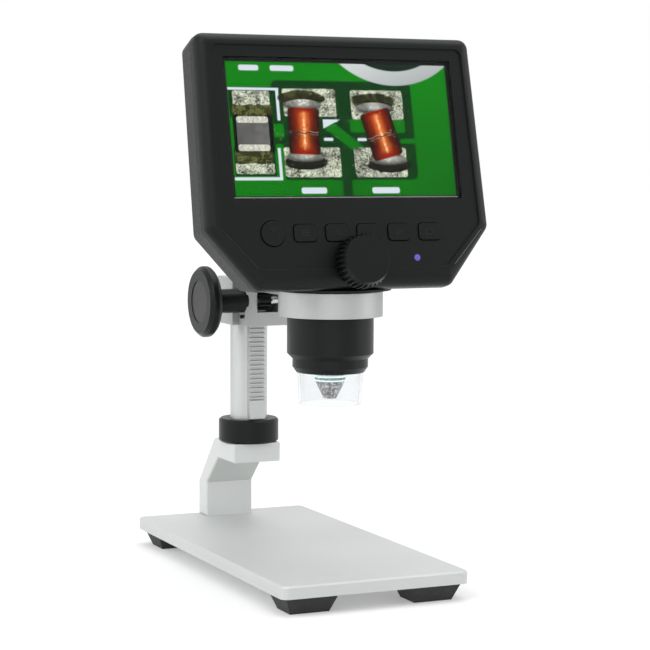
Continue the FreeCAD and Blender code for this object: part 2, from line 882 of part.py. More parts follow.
def clamp_ring():
    """The ring that holds the barrel, in one piece with the arm that carries it."""
    ring = rod(ring_radius, D.ring_top - D.ring_low, (0, lens_y, D.ring_low))
    arm = box((-D.arm_half, lens_y, D.arm_low), (D.arm_half, carriage_front, D.ring_top))
    hole = rod(D.barrel_radius + D.running_gap, D.ring_top - D.ring_low, (0, lens_y, D.ring_low))
    lug = box((-D.arm_half, lens_y + ring_radius - D.lug_deep, D.ring_low),
              (D.arm_half, lens_y + ring_radius + D.lug_deep, D.ring_top))
    way = rod(D.ring_screw, ring_radius + D.lug_deep - D.barrel_radius,
              (0, lens_y + D.barrel_radius, ring_screw_z), ALONG_Y)
    keep("clamp_ring", cut(fuse(ring, arm, lug), hole, way))


def ring_screw():
    """The headless screw in the back of the ring that stops the barrel from turning."""
    start = lens_y + D.barrel_radius + D.hub_gap
    end = lens_y + ring_radius + D.lug_deep
    screw = rod(D.ring_screw - D.loose_fit, end - start, (0, start, ring_screw_z), ALONG_Y)
    socket = hexagon(D.ring_screw * SOCKET_SHARE, D.lug_deep / 2, (0, end - D.lug_deep / 2, ring_screw_z))
    keep("ring_screw", cut(screw, socket))


# Barrel, light and snoot

def barrel_housing():
    """The black barrel: a plain tube in the ring, a bevel, a narrower nose, and posts for the sensor."""
    tube = turned([
        (D.guide_radius + D.running_gap, barrel_top), (D.barrel_radius, barrel_top),
        (D.barrel_radius, D.barrel_low), (D.barrel_radius - D.barrel_bevel, D.barrel_low - D.barrel_bevel),
        (nose_radius, D.barrel_low - D.barrel_bevel), (nose_radius, D.nose_low),
        (lip_radius, D.lip_low), (snoot_radius + D.loose_fit, D.lip_low),
        (snoot_radius + D.loose_fit, D.guide_low), (D.guide_radius + D.running_gap, D.guide_low),
    ], WORLD, (0, lens_y, 0))
    posts = []
    for side in (-1, 1):
        for end in (-1, 1):
            foot = (side * D.post_place, lens_y + end * D.post_place, barrel_top)
            posts.append(rod(D.post_radius, D.sensor_z - barrel_top, foot))
    keep("barrel_housing", fuse(tube, *posts))


def light_board():
    """The ring-shaped circuit board that carries the lamps."""
    keep("light_board", turned([
        (D.cone_radius + D.loose_fit, D.light_top), (snoot_radius, D.light_top),
        (snoot_radius, D.light_top + D.board_thick),
        (D.cone_radius + D.loose_fit, D.light_top + D.board_thick),
    ], WORLD, (0, lens_y, 0)))


def light_leds():
    """Eight lamps under the ring-shaped board."""
    lamps = []
    for number in range(int(D.led_count.number)):
        turn = Size(FULL_TURN) * number / D.led_count
        x = D.led_circle * cosine(turn)
        y = lens_y + D.led_circle * sine(turn)
        lamps.append(rod(D.led_radius, D.led_height, (x, y, D.light_top - D.led_height)))
    keep("light_leds", group(lamps))


def lens_cone():
    """The bright cone round the front lens, open down its middle."""
    keep("lens_cone", turned([
        (D.cone_mouth, D.cone_low), (D.cone_tip, D.cone_low), (D.cone_radius, D.cone_top),
        (D.cone_radius, D.light_top + D.board_thick + D.cone_seat),
        (D.cone_mouth, D.light_top + D.board_thick + D.cone_seat),
    ], WORLD, (0, lens_y, 0)))


def snoot():
    """The clear push-on cover that keeps the light in and sets the nearest focus."""
    keep("clear_snoot", turned([
        (snoot_mouth - D.snoot_wall, D.snoot_low), (snoot_mouth, D.snoot_low),
        (snoot_radius, D.lip_low - D.snoot_skirt), (snoot_radius, D.snoot_seat),
        (snoot_radius - D.snoot_wall, D.snoot_seat),
        (snoot_radius - D.snoot_wall, D.lip_low - D.snoot_skirt),
    ], WORLD, (0, lens_y, 0)))


# Lens and focus drive

def lens_carrier():
    """The tube that carries the lens and slides in the barrel."""
    keep("lens_carrier", turned([
        (D.lens_radius, D.carrier_low), (D.guide_radius, D.carrier_low), (D.guide_radius, D.carrier_top),
        (D.lens_radius, D.carrier_top),
    ], WORLD, (0, lens_y, 0)))


def objective_lens():
    """A doublet seen as one lens, crowned on both faces."""
    low = D.carrier_low + D.lens_inset
    high = low + D.lens_thick
    keep("objective_lens", turned([
        (0, low - D.lens_crown), (D.lens_radius * CROWN_PLACE, low - D.lens_crown * CROWN_SHARE),
        (D.lens_radius, low), (D.lens_radius, high),
        (D.lens_radius * CROWN_PLACE, high + D.lens_crown * CROWN_SHARE), (0, high + D.lens_crown),
    ], WORLD, (0, lens_y, 0)))


def sensor_board():
    """The image sensor and its board above the lens."""
    board = box((-D.sensor_half, lens_y - D.sensor_half, D.sensor_z),
                (D.sensor_half, lens_y + D.sensor_half, D.sensor_z + D.board_thick))
    chip = box((-D.chip_half, lens_y - D.chip_half, D.sensor_z - D.chip_thick),
               (D.chip_half, lens_y + D.chip_half, D.sensor_z))
    keep("sensor_board", fuse(board, chip))


def focus_wheel():
    """The toothed wheel on the face: a bevelled front disc and a coarse rim."""
    body = body_with_frame(HEAD, (D.wheel_x, 0, -D.wheel_v))
    core = sketch_on(body, "XZ", D.wheel_gap)
    inner = D.wheel_radius - D.wheel_groove
    disc(core, 0, 0, inner)
    pad(body, core, D.wheel_thick)
    ridge = sketch_on(body, "XZ", D.wheel_gap)
    tip = Size(HALF_TURN) * RIDGE_TIP / D.wheel_teeth
    root = Size(HALF_TURN) * RIDGE_ROOT / D.wheel_teeth
    sunk = inner - D.wheel_groove
    outline(ridge, [(sunk, -inner * sine(root)), (inner * cosine(root), -inner * sine(root)),
                    (D.wheel_radius * cosine(tip), -D.wheel_radius * sine(tip)),
                    (D.wheel_radius * cosine(tip), D.wheel_radius * sine(tip)),
                    (inner * cosine(root), inner * sine(root)), (sunk, inner * sine(root))])
    one = pad(body, ridge, D.wheel_thick)
    repeat_round(body, one, "Y", D.wheel_teeth)
    blank = cone(D.wheel_radius + D.wheel_thick - D.wheel_bevel_start, D.wheel_face_radius,
                 D.wheel_thick + D.wheel_gap, (D.wheel_x, 0, -D.wheel_v), (1, 0, 0, 90), HEAD)
    keep("focus_wheel", common(body, blank))


def focus_shaft():
    """The wheel's shaft, which runs through the face to the small gear behind it."""
    keep("focus_shaft", rod(D.focus_shaft_radius, D.wheel_gap + D.focus_depth,
                            (D.wheel_x, -D.wheel_gap, -D.wheel_v), ALONG_Y, HEAD))


# Screen head

def face_points(inset, low_inset=None):
    """The face's six-cornered outline, drawn in by an inset."""
    low = inset if low_inset is None else low_inset
    top_half = D.head_top_half - inset
    side_half = D.head_side_half - inset
    low_half = D.head_low_half - inset * CORNER_IN
    side_low = -D.head_side_low + inset * CORNER_UP
    return [
        (-top_half, D.head_top - inset), (-side_half, side_low), (-low_half, -D.head_low + low),
        (low_half, -D.head_low + low), (side_half, side_low), (top_half, D.head_top - inset),
    ]


def rectangle(x, v, half_wide, half_high):
    return [(x - half_wide, v - half_high), (x + half_wide, v - half_high),
            (x + half_wide, v + half_high), (x - half_wide, v + half_high)]


def slab(points, near, far, corner=None, taper=None, frame=HEAD):
    """A flat piece of the head between two depths behind the face."""
    near, far = as_size(near), as_size(far)
    body = body_with_frame(frame)
    sketch = sketch_on(body, "XZ", -near)
    outline(sketch, points)
    pad(body, sketch, far - near, reverse=True, taper=taper)
    if corner is not None:
        dress(body, "Fillet", corner, lambda edge, middle, along: abs(along.y) > STRAIGHT)
    return body


def peg(x, v, near, far, radius, frame=HEAD):
    """A round piece of the head between two depths behind the face."""
    near, far = as_size(near), as_size(far)
    return rod(radius, far - near, (x, near, v), ALONG_Y, frame)


def depth_y(depth, level):
    """How far back a plane parallel to the face lies at one level."""
    return -D.face_y + (depth + (level - D.face_z) * sine(D.tilt)) / cosine(D.tilt)


def button_places():
    return [-D.button_first + D.button_pitch * number for number in range(len(KEY_NAMES))]


def button_blank(number, grow, near, far):
    """One key's shape: the first is round, the others are rounded rectangles."""
    x = button_places()[number]
    if number == 0:
        return peg(x, -D.button_v, near, far, D.button_round + grow)
    points = rectangle(x, -D.button_v, D.button_wide / 2 + grow, D.button_high / 2 + grow)
    return slab(points, near, far, D.button_corner + grow)


def boss_places():
    return [(side * D.boss_x, v) for side in (-1, 1) for v in (D.boss_high, -D.boss_low)]


def window_points(inset):
    """The window's outline, which shows a narrow border round the picture."""
    border = D.glass_border - inset
    return rectangle(0, 0, D.screen_half_wide + border, D.screen_half_high + border)


def barrel_way():
    """The way for the barrel through the head's collar and floor."""
    return rod(D.barrel_radius + D.loose_fit, barrel_top - D.collar_low, (0, lens_y, D.collar_low))


def front_bezel():
    """The face and its side walls, open at the back, with the lower edge rolled under."""
    shell = slab(face_points(Size(0)), 0, D.bezel_depth, D.head_corner)
    low = -D.head_low.number
    dress(shell, "Fillet", D.head_roll, lambda edge, middle, along:
          abs(middle.y) < SAME and abs(middle.z - low) < SAME and abs(along.x) > STRAIGHT)
    inside = slab(face_points(D.head_wall), D.face_inside, D.bezel_depth)
    sunk = slab(face_points(D.frame_step, D.frame_low_step), 0, D.frame_sink, D.frame_corner)
    window = slab(window_points(Size(0)), 0, D.face_inside, D.window_corner)
    keys = [button_blank(number, D.button_gap, D.frame_sink, D.face_inside)
            for number in range(len(KEY_NAMES))]
    led_hole = peg(D.led_x, -D.led_v, 0, D.face_inside, D.led_lens + D.loose_fit)
    shaft_hole = peg(D.wheel_x, -D.wheel_v, 0, D.face_inside, D.focus_shaft_radius + D.running_gap)
    hollow = cut(shell, inside, sunk, window, led_hole, shaft_hole, barrel_way(), *keys)
    bosses = []
    for x, v in boss_places():
        post = peg(x, v, D.face_inside, D.bezel_depth, D.boss_radius)
        way = peg(x, v, D.face_inside + D.boss_floor, D.bezel_depth, D.screw_pilot + D.loose_fit)
        bosses.append(cut(post, way))
    keep("front_bezel", fuse(hollow, *bosses))


def below(level):
    """Everything under a level, to cut the head's underside flat."""
    return box((-D.head_side_half, -D.plate_depth, level - D.plate_width),
               (D.head_side_half, D.plate_depth, level))


def hump_block(inset):
    """The upright bulge at the back that holds the barrel's top and the battery."""
    near = D.head_thick - D.head_wall * 2
    low = D.head_floor - D.head_wall
    top = D.hump_top - inset
    back = hump_y - inset
    body = body_with_frame()
    sketch = sketch_on(body, "YZ")
    outline(sketch, [(depth_y(near, low), low), (back, low), (back, top - D.hump_slope),
                     (depth_y(near, top), top)])
    pad(body, sketch, (D.hump_half - inset) * 2, midplane=True)
    rim = back.number
    ridge = depth_y(near, top).number
    slope_low = (top - D.hump_slope).number
    dress(body, "Fillet", D.hump_corner - inset, lambda edge, middle, along:
          abs(middle.y - rim) < SAME and upright(edge, middle, along))
    dress(body, "Fillet", D.hump_round, lambda edge, middle, along:
          middle.z > slope_low - SAME and middle.y > ridge + SAME)
    return body


def rear_housing():
    """The back shell with its bulge; its underside is level and carries a round collar for the barrel."""
    outer = slab(face_points(Size(0)), D.bezel_depth, D.head_thick, D.head_corner, -D.head_draft)
    far = D.head_thick.number
    dress(outer, "Fillet", D.back_round, lambda edge, middle, along: abs(middle.y - far) < SAME)
    hump = hump_block(Size(0))
    collar = rod(collar_radius, D.head_floor - D.collar_low, (0, lens_y, D.collar_low))
    outside = cut(fuse(outer, hump), below(D.head_floor))
    inner = slab(face_points(D.head_wall), D.bezel_depth, D.head_thick - D.head_wall, None,
                 -D.head_draft)
    inner_hump = hump_block(D.head_wall)
    hollow = cut(fuse(inner, inner_hump), below(D.head_floor + D.head_wall))
    bosses = [peg(x, v, D.bezel_depth, D.head_thick - D.head_wall, D.boss_radius)
              for x, v in boss_places()]
    holes = [peg(x, v, D.bezel_depth, D.head_thick, D.screw_pilot + D.loose_fit)
             for x, v in boss_places()]
    holes += [peg(x, v, D.head_thick - D.boss_sink, D.head_thick, D.boss_head + D.loose_fit)
              for x, v in boss_places()]
    hatch = slab(rectangle(0, D.hatch_z, D.hatch_half_wide, D.hatch_half_high),
                 hump_y - D.head_wall, hump_y, D.hatch_corner, None, WORLD)
    ports = [port_block(v, half, deep, D.loose_fit) for v, half, deep in port_sizes()]
    shell = cut(fuse(cut(fuse(outside, collar), hollow), *bosses), barrel_way(), hatch, *(holes + ports))
    keep("rear_housing", shell)


def port_sizes():
    """The sockets in the right side: up the side, half length and depth of each."""
    return [(D.usb_v, D.usb_half, D.usb_deep), (D.card_v, D.card_half, D.card_deep)]


def port_block(v, half, deep, grow):
    """A socket let into the right wall, its mouth a little inside the wall's face."""
    inner = D.head_side_half - D.port_in - deep
    return box((inner, D.port_w - D.port_half - grow, v - half - grow),
               (D.head_side_half + D.loose_fit, D.port_w + D.port_half + grow, v + half + grow), HEAD)


def ports():
    for label, (v, half, deep) in zip(("usb_port", "card_slot"), port_sizes()):
        inner = D.head_side_half - D.port_in - deep
        outer = D.head_side_half - D.port_in
        block = box((inner, D.port_w - D.port_half, v - half),
                    (outer, D.port_w + D.port_half, v + half), HEAD)
        mouth = box((inner + D.port_wall * 2, D.port_w - D.port_half + D.port_wall, v - half + D.port_wall),
                    (outer, D.port_w + D.port_half - D.port_wall, v + half - D.port_wall), HEAD)
        keep(label, cut(block, mouth))


def battery_hatch():
    half_wide, half_high = D.hatch_half_wide - D.loose_fit, D.hatch_half_high - D.loose_fit
    plate = slab(rectangle(0, D.hatch_z, half_wide, half_high), hump_y - D.head_wall, hump_y,
                 D.hatch_corner - D.loose_fit, None, WORLD)
    hole = peg(0, hatch_screw_z, hump_y - D.head_wall, hump_y, D.screw_pilot + D.loose_fit, WORLD)
    sink = peg(0, hatch_screw_z, hump_y - D.head_wall / 2, hump_y, D.boss_head + D.loose_fit, WORLD)
    keep("battery_hatch", cut(plate, hole, sink))


def hatch_screw():
    head = peg(0, hatch_screw_z, hump_y - D.head_wall / 2, hump_y - D.loose_fit, D.boss_head, WORLD)
    shank = peg(0, hatch_screw_z, hump_y - D.head_wall, hump_y - D.head_wall / 2, D.screw_pilot, WORLD)
    keep("hatch_screw", fuse(head, shank))


def housing_screws():
    screws = []
    for x, v in boss_places():
        near = D.head_thick - D.boss_sink
        head = peg(x, v, near, near + D.boss_head_thick, D.boss_head)
        shank = peg(x, v, D.bezel_depth - D.screw_bite, near, D.screw_pilot)
        screws.append(fuse(head, shank))
    keep("housing_screws", group(screws))


def screen():
    """The clear window and the display panel behind it."""
    keep("screen_window", slab(window_points(D.loose_fit), D.glass_in, D.glass_in + D.glass_thick,
                               D.window_corner - D.loose_fit))
    keep("display_panel", slab(panel_points(Size(0)), D.face_inside, D.face_inside + D.panel_thick,
                               D.window_corner))


def panel_points(inset):
    """The display's outline, which reaches further down than up."""
    half = D.panel_half - inset
    return [(-half, -D.panel_low + inset), (half, -D.panel_low + inset), (half, D.panel_high - inset),
            (-half, D.panel_high - inset)]


def boards():
    """The main board behind the display, and the key board with its switches."""
    near = D.face_inside + D.panel_thick + D.board_gap
    keep("main_board", slab(panel_points(D.board_inset), near, near + D.board_thick, D.window_corner))
    board_near = D.face_inside + D.key_flange + D.hub_gap + D.switch_high + D.key_room
    run = D.button_pitch * (len(KEY_NAMES) - 1) / 2
    strip = rectangle(run - D.button_first, -D.button_v, run + D.button_wide / 2 + D.board_inset,
                      D.button_high / 2)
    keep("key_board", slab(strip, board_near, board_near + D.board_thick))
    switches = [slab(rectangle(x, -D.button_v, D.switch_half, D.switch_half),
                     board_near - D.switch_high, board_near) for x in button_places()]
    keep("key_switches", group(switches))


def battery():
    """The flat cell behind the hatch."""
    far = hump_y - D.head_wall - D.hub_gap
    keep("battery", slab(rectangle(0, D.hatch_z, D.battery_half_wide, D.battery_half_high),
                         far - D.battery_thick, far, D.window_corner, None, WORLD))


def indicator():
    keep("indicator_lens", peg(D.led_x, -D.led_v, D.frame_sink, D.face_inside + D.led_deep, D.led_lens))


def keys():
    """Six keys, each with a flange behind the face that keeps it in."""
    flange_near = D.face_inside + D.hub_gap
    for number, label in enumerate(KEY_NAMES):
        cap = button_blank(number, Size(0), D.frame_sink - D.button_proud, flange_near)
        flange = button_blank(number, D.key_lip, flange_near, flange_near + D.key_flange)
        keep(label, fuse(cap, flange))


def focus_gear():
    """The small gear on the focus shaft, in mesh with the rack on the lens carrier."""
    body = gear(D.focus_teeth, D.focus_pitch, D.focus_tooth_height, D.focus_gear_wide,
                D.focus_shaft_radius, D.focus_teeth / 2 + HALF_PITCH)
    place = "%s * placement(vector(%s; %s; %s); rotation(vector(1; 0; 0); -90))" % (
        HEAD.formula(), D.wheel_x.formula, D.focus_gear_near.formula, (-D.wheel_v).formula)
    body.setExpression("Placement", place)
    keep("focus_gear", body)


def focus_rack():
    """The rack beside the gear, with a foot that joins it to the lens carrier's front."""
    radius = D.focus_teeth * D.focus_pitch / (2 * math.pi)
    tip = D.wheel_x - radius + D.focus_tooth_height / 2
    root = tip - D.focus_tooth_height
    back = root - D.focus_bar
    tip_half = D.focus_pitch * TOOTH_TIP / 2
    root_half = D.focus_pitch * TOOTH_ROOT / 2
    points = []
    reach = FOCUS_RACK_TEETH // 2
    for tooth in range(-reach, reach + 1):
        middle = -D.wheel_v + D.focus_pitch * tooth
        points += [(root, middle - root_half), (tip, middle - tip_half), (tip, middle + tip_half),
                   (root, middle + root_half)]
    points += [(back, points[-1][1]), (back, points[0][1])]
    bar = slab(points, D.focus_gear_near, D.focus_gear_near + D.focus_gear_wide)
    foot = box((back, lens_y - D.guide_radius - D.focus_foot, D.carrier_top - D.focus_foot_high),
               (root, lens_y - D.guide_radius + D.focus_foot_in, D.carrier_top))
    tube = rod(D.guide_radius, D.carrier_top - D.carrier_low, (0, lens_y, D.carrier_low))
    keep("focus_rack", cut(fuse(bar, foot), tube))


def build():
    base_plate()
    base_screws()
    rubber_feet()
    bracket()
    column()
    column_bolt()
    column_cap()
    lock_nut()
    column_rack()
    height_pinion()
    pinion_shaft()
    shaft_clip()
    height_knob()
    knob_cap()
    bearing_sleeve()
    carriage()
    drag_pad()
    drag_screw()
    clamp_ring()
    ring_screw()
    barrel_housing()
    light_board()
    light_leds()
    lens_cone()
    snoot()
    lens_carrier()
    objective_lens()
    sensor_board()
    focus_wheel()
    focus_shaft()
    focus_gear()
    focus_rack()
    front_bezel()
    rear_housing()
    ports()
    battery_hatch()
    hatch_screw()
    housing_screws()
    screen()
    boards()
    battery()
    indicator()
    keys()


def check_and_write():
    doc.recompute()
    for thing in doc.Objects:
        if "Invalid" in thing.State or "Error" in thing.State:
            raise RuntimeError("%s (%s) failed" % (thing.Name, thing.Label))
    os.makedirs("parts", exist_ok=True)
    for label, thing in nodes.items():
        shape = thing.Shape
        if shape.isNull() or not shape.isValid() or not shape.Solids:
            raise RuntimeError("%s has no sound solid" % label)
    for label, thing in nodes.items():
        thing.Shape.exportStep("parts/%s.step" % label)


build()
check_and_write()
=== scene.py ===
import math

import bmesh
import bpy
import numpy as np
from mathutils import Matrix, Vector


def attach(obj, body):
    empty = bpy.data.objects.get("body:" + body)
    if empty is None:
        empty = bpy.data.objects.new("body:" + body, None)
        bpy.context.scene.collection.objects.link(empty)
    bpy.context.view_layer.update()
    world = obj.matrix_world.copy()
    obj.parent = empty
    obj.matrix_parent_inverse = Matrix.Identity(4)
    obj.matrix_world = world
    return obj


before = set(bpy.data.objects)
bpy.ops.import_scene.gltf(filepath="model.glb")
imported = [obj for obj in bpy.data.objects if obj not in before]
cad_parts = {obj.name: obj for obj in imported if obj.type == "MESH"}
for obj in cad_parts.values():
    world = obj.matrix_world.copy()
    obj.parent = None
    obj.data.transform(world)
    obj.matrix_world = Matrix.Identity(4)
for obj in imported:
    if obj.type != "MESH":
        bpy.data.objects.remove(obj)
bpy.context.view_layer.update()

# Places and sizes of the object, in metres. The head leans back about X, so it has axes of its own:
# right, inward (back into the head) and upward (up the screen), from the middle of the display's front.

MM = 0.001
TILT = math.radians(12.75)
FACE_CENTRE = Vector((0.0, -50.3, 185.05)) * MM
RIGHT = Vector((1.0, 0.0, 0.0))
INWARD = Vector((0.0, math.cos(TILT), -math.sin(TILT)))
UPWARD = Vector((0.0, math.sin(TILT), math.cos(TILT)))
LENS_AXIS = Vector((0.0, -37.0, 0.0)) * MM

# Sizes of the pieces, in metres

PICTURE_HALF_WIDE = 47.52 * MM
PICTURE_HALF_HIGH = 26.55 * MM
PICTURE_DEPTH = 2.5 * MM
PICTURE_CELLS_ACROSS = 500
PICTURE_CELLS_UP = 280

KEY_FIRST = -34.3 * MM
KEY_PITCH = 13.43 * MM
KEY_UP = -41.5 * MM
KEY_FACE = 0.1 * MM
MARK_PROUD = 0.03 * MM
MARK_DEEP = 0.05 * MM
MARK_WIDE = 0.34 * MM
STROKE_OVERLAP = 0.4

# A painted highlight along the display's lower edge: its height, half length, depth and width
SCREEN_LINE_UP = -27.1 * MM
SCREEN_LINE_HALF = 48.2 * MM
SCREEN_LINE_DEPTH = 2.45 * MM
SCREEN_LINE_WIDE = 0.26 * MM

# Painted highlights on the raised border beside the keys: the strips' width, and for each strip its name,
# plastic level and run in millimetres
BORDER_LIGHT_WIDE = 0.2 * MM
BORDER_LIGHTS = [("border_light_right", 0.16, [(55.8, -41.0), (42.7, -54.8)]),
                 ("border_light_left", 0.03, [(-55.1, -40.2), (-41.6, -55.2)])]

PIN_PLACE = Vector((-9.6, 33.6, 104.8)) * MM
PIN_OUTWARD = Vector((-0.6, -0.8, 0.0))
PIN_RADIUS = 0.9 * MM
PIN_LONG = 1.2 * MM
PIN_PROUD = 0.1 * MM
PIN_SIDES = 24

# Painted highlights round the lens: glowing rings, each with its name, height, radius and thickness
LENS_HIGHLIGHT_RINGS = [("lens_highlight_ring_low", 84.5 * MM, 6.25 * MM, 0.3 * MM),
              ("lens_highlight_ring_high", 86.2 * MM, 6.3 * MM, 0.45 * MM)]
RING_STEPS_AROUND = 72
RING_STEPS_SECTION = 12

# The studio: floor and lamps in metres and watts

WHITE = (1.0, 1.0, 1.0, 1.0)
FLOOR_HALF = 6.0
FLOOR_TONE = (0.73, 0.735, 0.73, 1.0)
MIRRORED_GLOW = 0.5
GLOW_NEAR = (0.13, 0.4, 0.0, 0.27)      # grows from this distance to that one, from this glow to that
GLOW_FAR = (0.4, 2.0, 0.27, 0.75)
STUDIO_TONE = (0.95, 0.975, 0.97, 1.0)
STUDIO_LEVEL = 0.42
LAMP_TARGET = (0.0, 0.0, 0.12)
LAMPS = [("key_lamp", (-0.9, -0.7, 1.1), 0.9, 0.9, 8.0),
         ("top_lamp", (0.1, 0.1, 1.3), 1.2, 1.2, 9.5),
         ("right_lamp", (1.1, -0.5, 0.5), 0.7, 0.9, 4.5),
         ("left_lamp", (-1.2, 0.3, 0.35), 1.7, 1.1, 6.5),
         ("front_lamp", (-0.5, -1.3, 0.3), 1.0, 0.6, 1.8)]

# The photograph's camera, fitted to the straight edges of the plate, the column, the head and the display

CAMERA_PLACE = Vector((-346.7, -796.4, 177.5)) * MM
CAMERA_YAW = math.radians(24.39)
CAMERA_PITCH = math.radians(4.86)
CAMERA_ROLL = math.radians(0.26)
CAMERA_NEAR = 0.01
FOCAL_PIXELS = 2090.5
FRAME_PIXELS = 650
SENSOR_MM = 36.0


def head_point(right, inward, up):
    """A point of the head, in metres, from its three own coordinates in metres."""
    return FACE_CENTRE + RIGHT * right + INWARD * inward + UPWARD * up


# Shader helpers

NOISE_LOW = 0.3
NOISE_HIGH = 0.7
BEVEL_SAMPLES = 4


class Nodes:
    """The node tree of a material or world, with short calls for the nodes that are used here."""

    def __init__(self, owner, output_kind):
        owner.use_nodes = True
        self.tree = owner.node_tree
        self.tree.nodes.clear()
        self.output = self.node(output_kind)

    def node(self, kind, inputs=None, **settings):
        made = self.tree.nodes.new("ShaderNode" + kind)
        for key, value in settings.items():
            setattr(made, key, value)
        for key, value in (inputs or {}).items():
            self.feed(made.inputs[key], value)
        return made

    def feed(self, socket, value):
        if isinstance(value, bpy.types.NodeSocket):
            self.tree.links.new(value, socket)
        else:
            socket.default_value = value

    def show(self, shader):
        self.tree.links.new(shader.outputs[0], self.output.inputs["Surface"])

    def place(self):
        return self.node("TexCoord").outputs["Object"]

    def stretched(self, factors):
        return self.node("Mapping", {"Vector": self.place(), "Scale": factors}).outputs["Vector"]

    def noise(self, scale, detail=4.0, rough=0.55, vector=None):
        where = vector if vector is not None else self.place()
        inputs = {"Vector": where, "Scale": scale, "Detail": detail, "Roughness": rough}
        return self.node("TexNoise", inputs).outputs["Fac"]

    def span(self, value, low, high, to_low=0.0, to_high=1.0):
        inputs = {"Value": value, "From Min": low, "From Max": high, "To Min": to_low, "To Max": to_high}
        return self.node("MapRange", inputs).outputs["Result"]

    def spread(self, noise, to_low=0.0, to_high=1.0):
        """Noise keeps to its middle: this spreads the middle over a whole range."""
        return self.span(noise, NOISE_LOW, NOISE_HIGH, to_low, to_high)

    def math(self, operation, a, b=0.0):
        return self.node("Math", {0: a, 1: b}, operation=operation).outputs[0]

    def highest(self, first, *others):
        for value in others:
            first = self.math("MAXIMUM", first, value)
        return first

    def mix(self, factor, a, b):
        made = self.node("Mix", data_type="RGBA")
        for socket, value in zip((made.inputs[0], made.inputs[6], made.inputs[7]), (factor, a, b)):
            self.feed(socket, value)
        return made.outputs[2]

    def mix_shaders(self, factor, a, b):
        return self.node("MixShader", {0: factor, 1: a.outputs[0], 2: b.outputs[0]})

    def edge(self, radius, reach):
        """1 on convex and concave edges, 0 on open faces."""
        soft = self.node("Bevel", {"Radius": radius}, samples=BEVEL_SAMPLES).outputs[0]
        true = self.node("NewGeometry").outputs["Normal"]
        dot = self.node("VectorMath", {0: soft, 1: true}, operation="DOT_PRODUCT").outputs["Value"]
        return self.span(dot, 1.0, 1.0 - reach)

    def bump(self, height, strength, distance, round_edge=0.0):
        inputs = {"Height": height, "Strength": strength, "Distance": distance}
        if round_edge > 0.0:
            inputs["Normal"] = self.node("Bevel", {"Radius": round_edge}, samples=BEVEL_SAMPLES).outputs[0]
        return self.node("Bump", inputs).outputs["Normal"]

    def principled(self, **inputs):
        shader = self.node("BsdfPrincipled")
        for key, value in inputs.items():
            self.feed(shader.inputs[key.replace("_", " ")], value)
        self.show(shader)


class Shader(Nodes):
    """A new material."""

    def __init__(self, name):
        self.material = bpy.data.materials.new(name)
        super().__init__(self.material, "OutputMaterial")


def grey(level):
    return (level, level, level, 1.0)


def tinted(level, red, green, blue):
    return (level * red, level * green, level * blue, 1.0)


# Materials

BLACK_SHINE = 0.17
COOL_TINT = (0.93, 1.0, 1.0, 1.0)
SOFT_EDGE = 0.25 * MM
EVEN_GRAIN = (1.0, 1.0, 1.0)
DRAWN_UP = (1.0, 1.0, 0.03)
DRAWN_ACROSS = (0.05, 1.0, 1.0)
TURNED_ROUND = (1.0, 1.0, 60.0)
RINGED = (0.1, 0.1, 14.0)


def moulded_black(name, level=0.0045, rough=0.42, grain=0.5):
    """Black moulded plastic with a fine spark texture, a little lighter in patches along its edges, as wear
    from handling and as painted highlight.
    """
    s = Shader(name)
    wear = s.span(s.noise(180.0, detail=5.0), 0.45, 0.75, 0.0, 0.35)
    # Wear and painted highlight: edges, convex and concave, a little lighter in patches.
    patchy_edge_wear_and_highlight = s.math("MULTIPLY", s.edge(0.5 * MM, 0.25), wear)
    cloud = s.spread(s.noise(60.0, detail=3.0))
    base = s.mix(cloud, grey(level * 0.9), tinted(level, 1.08, 1.12, 1.12))
    texture = s.noise(2600.0, detail=2.0, rough=0.6)
    s.principled(Base_Color=s.mix(patchy_edge_wear_and_highlight, base, grey(level * 3.0)),
                 Roughness=s.spread(s.noise(900.0), rough - 0.05, rough + 0.07),
                 Normal=s.bump(texture, strength=grain * 0.35, distance=0.06 * MM, round_edge=SOFT_EDGE),
                 Specular_IOR_Level=BLACK_SHINE, Specular_Tint=COOL_TINT)
    return s.material


def aluminium(name, level, rough, stretch=EVEN_GRAIN, grain=0.4, metal=0.5):
    """Satin aluminium: fine blasted or drawn grain, soft colour drift and brighter edges, partly from wear
    and partly painted highlight.
    """
    s = Shader(name)
    drift = s.spread(s.noise(18.0))
    base = s.mix(drift, tinted(level, 0.945, 0.97, 0.955), tinted(level, 1.015, 1.035, 1.02))
    # Wear and painted highlight: every edge, convex and concave, a little brighter.
    edge_wear_and_highlight = s.math("MULTIPLY", s.edge(0.4 * MM, 0.2), 0.5)
    drawn = s.noise(1500.0, detail=3.0, rough=0.6, vector=s.stretched(stretch))
    s.principled(Base_Color=s.mix(edge_wear_and_highlight, base, grey(min(level * 1.3, 0.95))), Metallic=metal,
                 Roughness=s.spread(drawn, rough - 0.05, rough + 0.08),
                 Normal=s.bump(drawn, strength=grain * 0.3, distance=0.05 * MM, round_edge=SOFT_EDGE))
    return s.material


def black_metal(name, level=0.006, rough=0.34):
    """Black anodised metal with faint turning marks round its axis, its edges lighter as wear and as painted
    highlight.
    """
    s = Shader(name)
    marks = s.noise(220.0, detail=3.0, rough=0.6, vector=s.stretched(TURNED_ROUND))
    # Wear and painted highlight: every edge, convex and concave, lighter.
    edge_wear_and_highlight = s.math("MULTIPLY", s.edge(0.4 * MM, 0.2), 0.5)
    s.principled(Base_Color=s.mix(edge_wear_and_highlight, grey(level), grey(level * 5.0)),
                 Roughness=s.spread(marks, rough - 0.05, rough + 0.08),
                 Normal=s.bump(marks, strength=0.12, distance=0.04 * MM, round_edge=SOFT_EDGE),
                 Specular_IOR_Level=BLACK_SHINE, Specular_Tint=COOL_TINT)
    return s.material


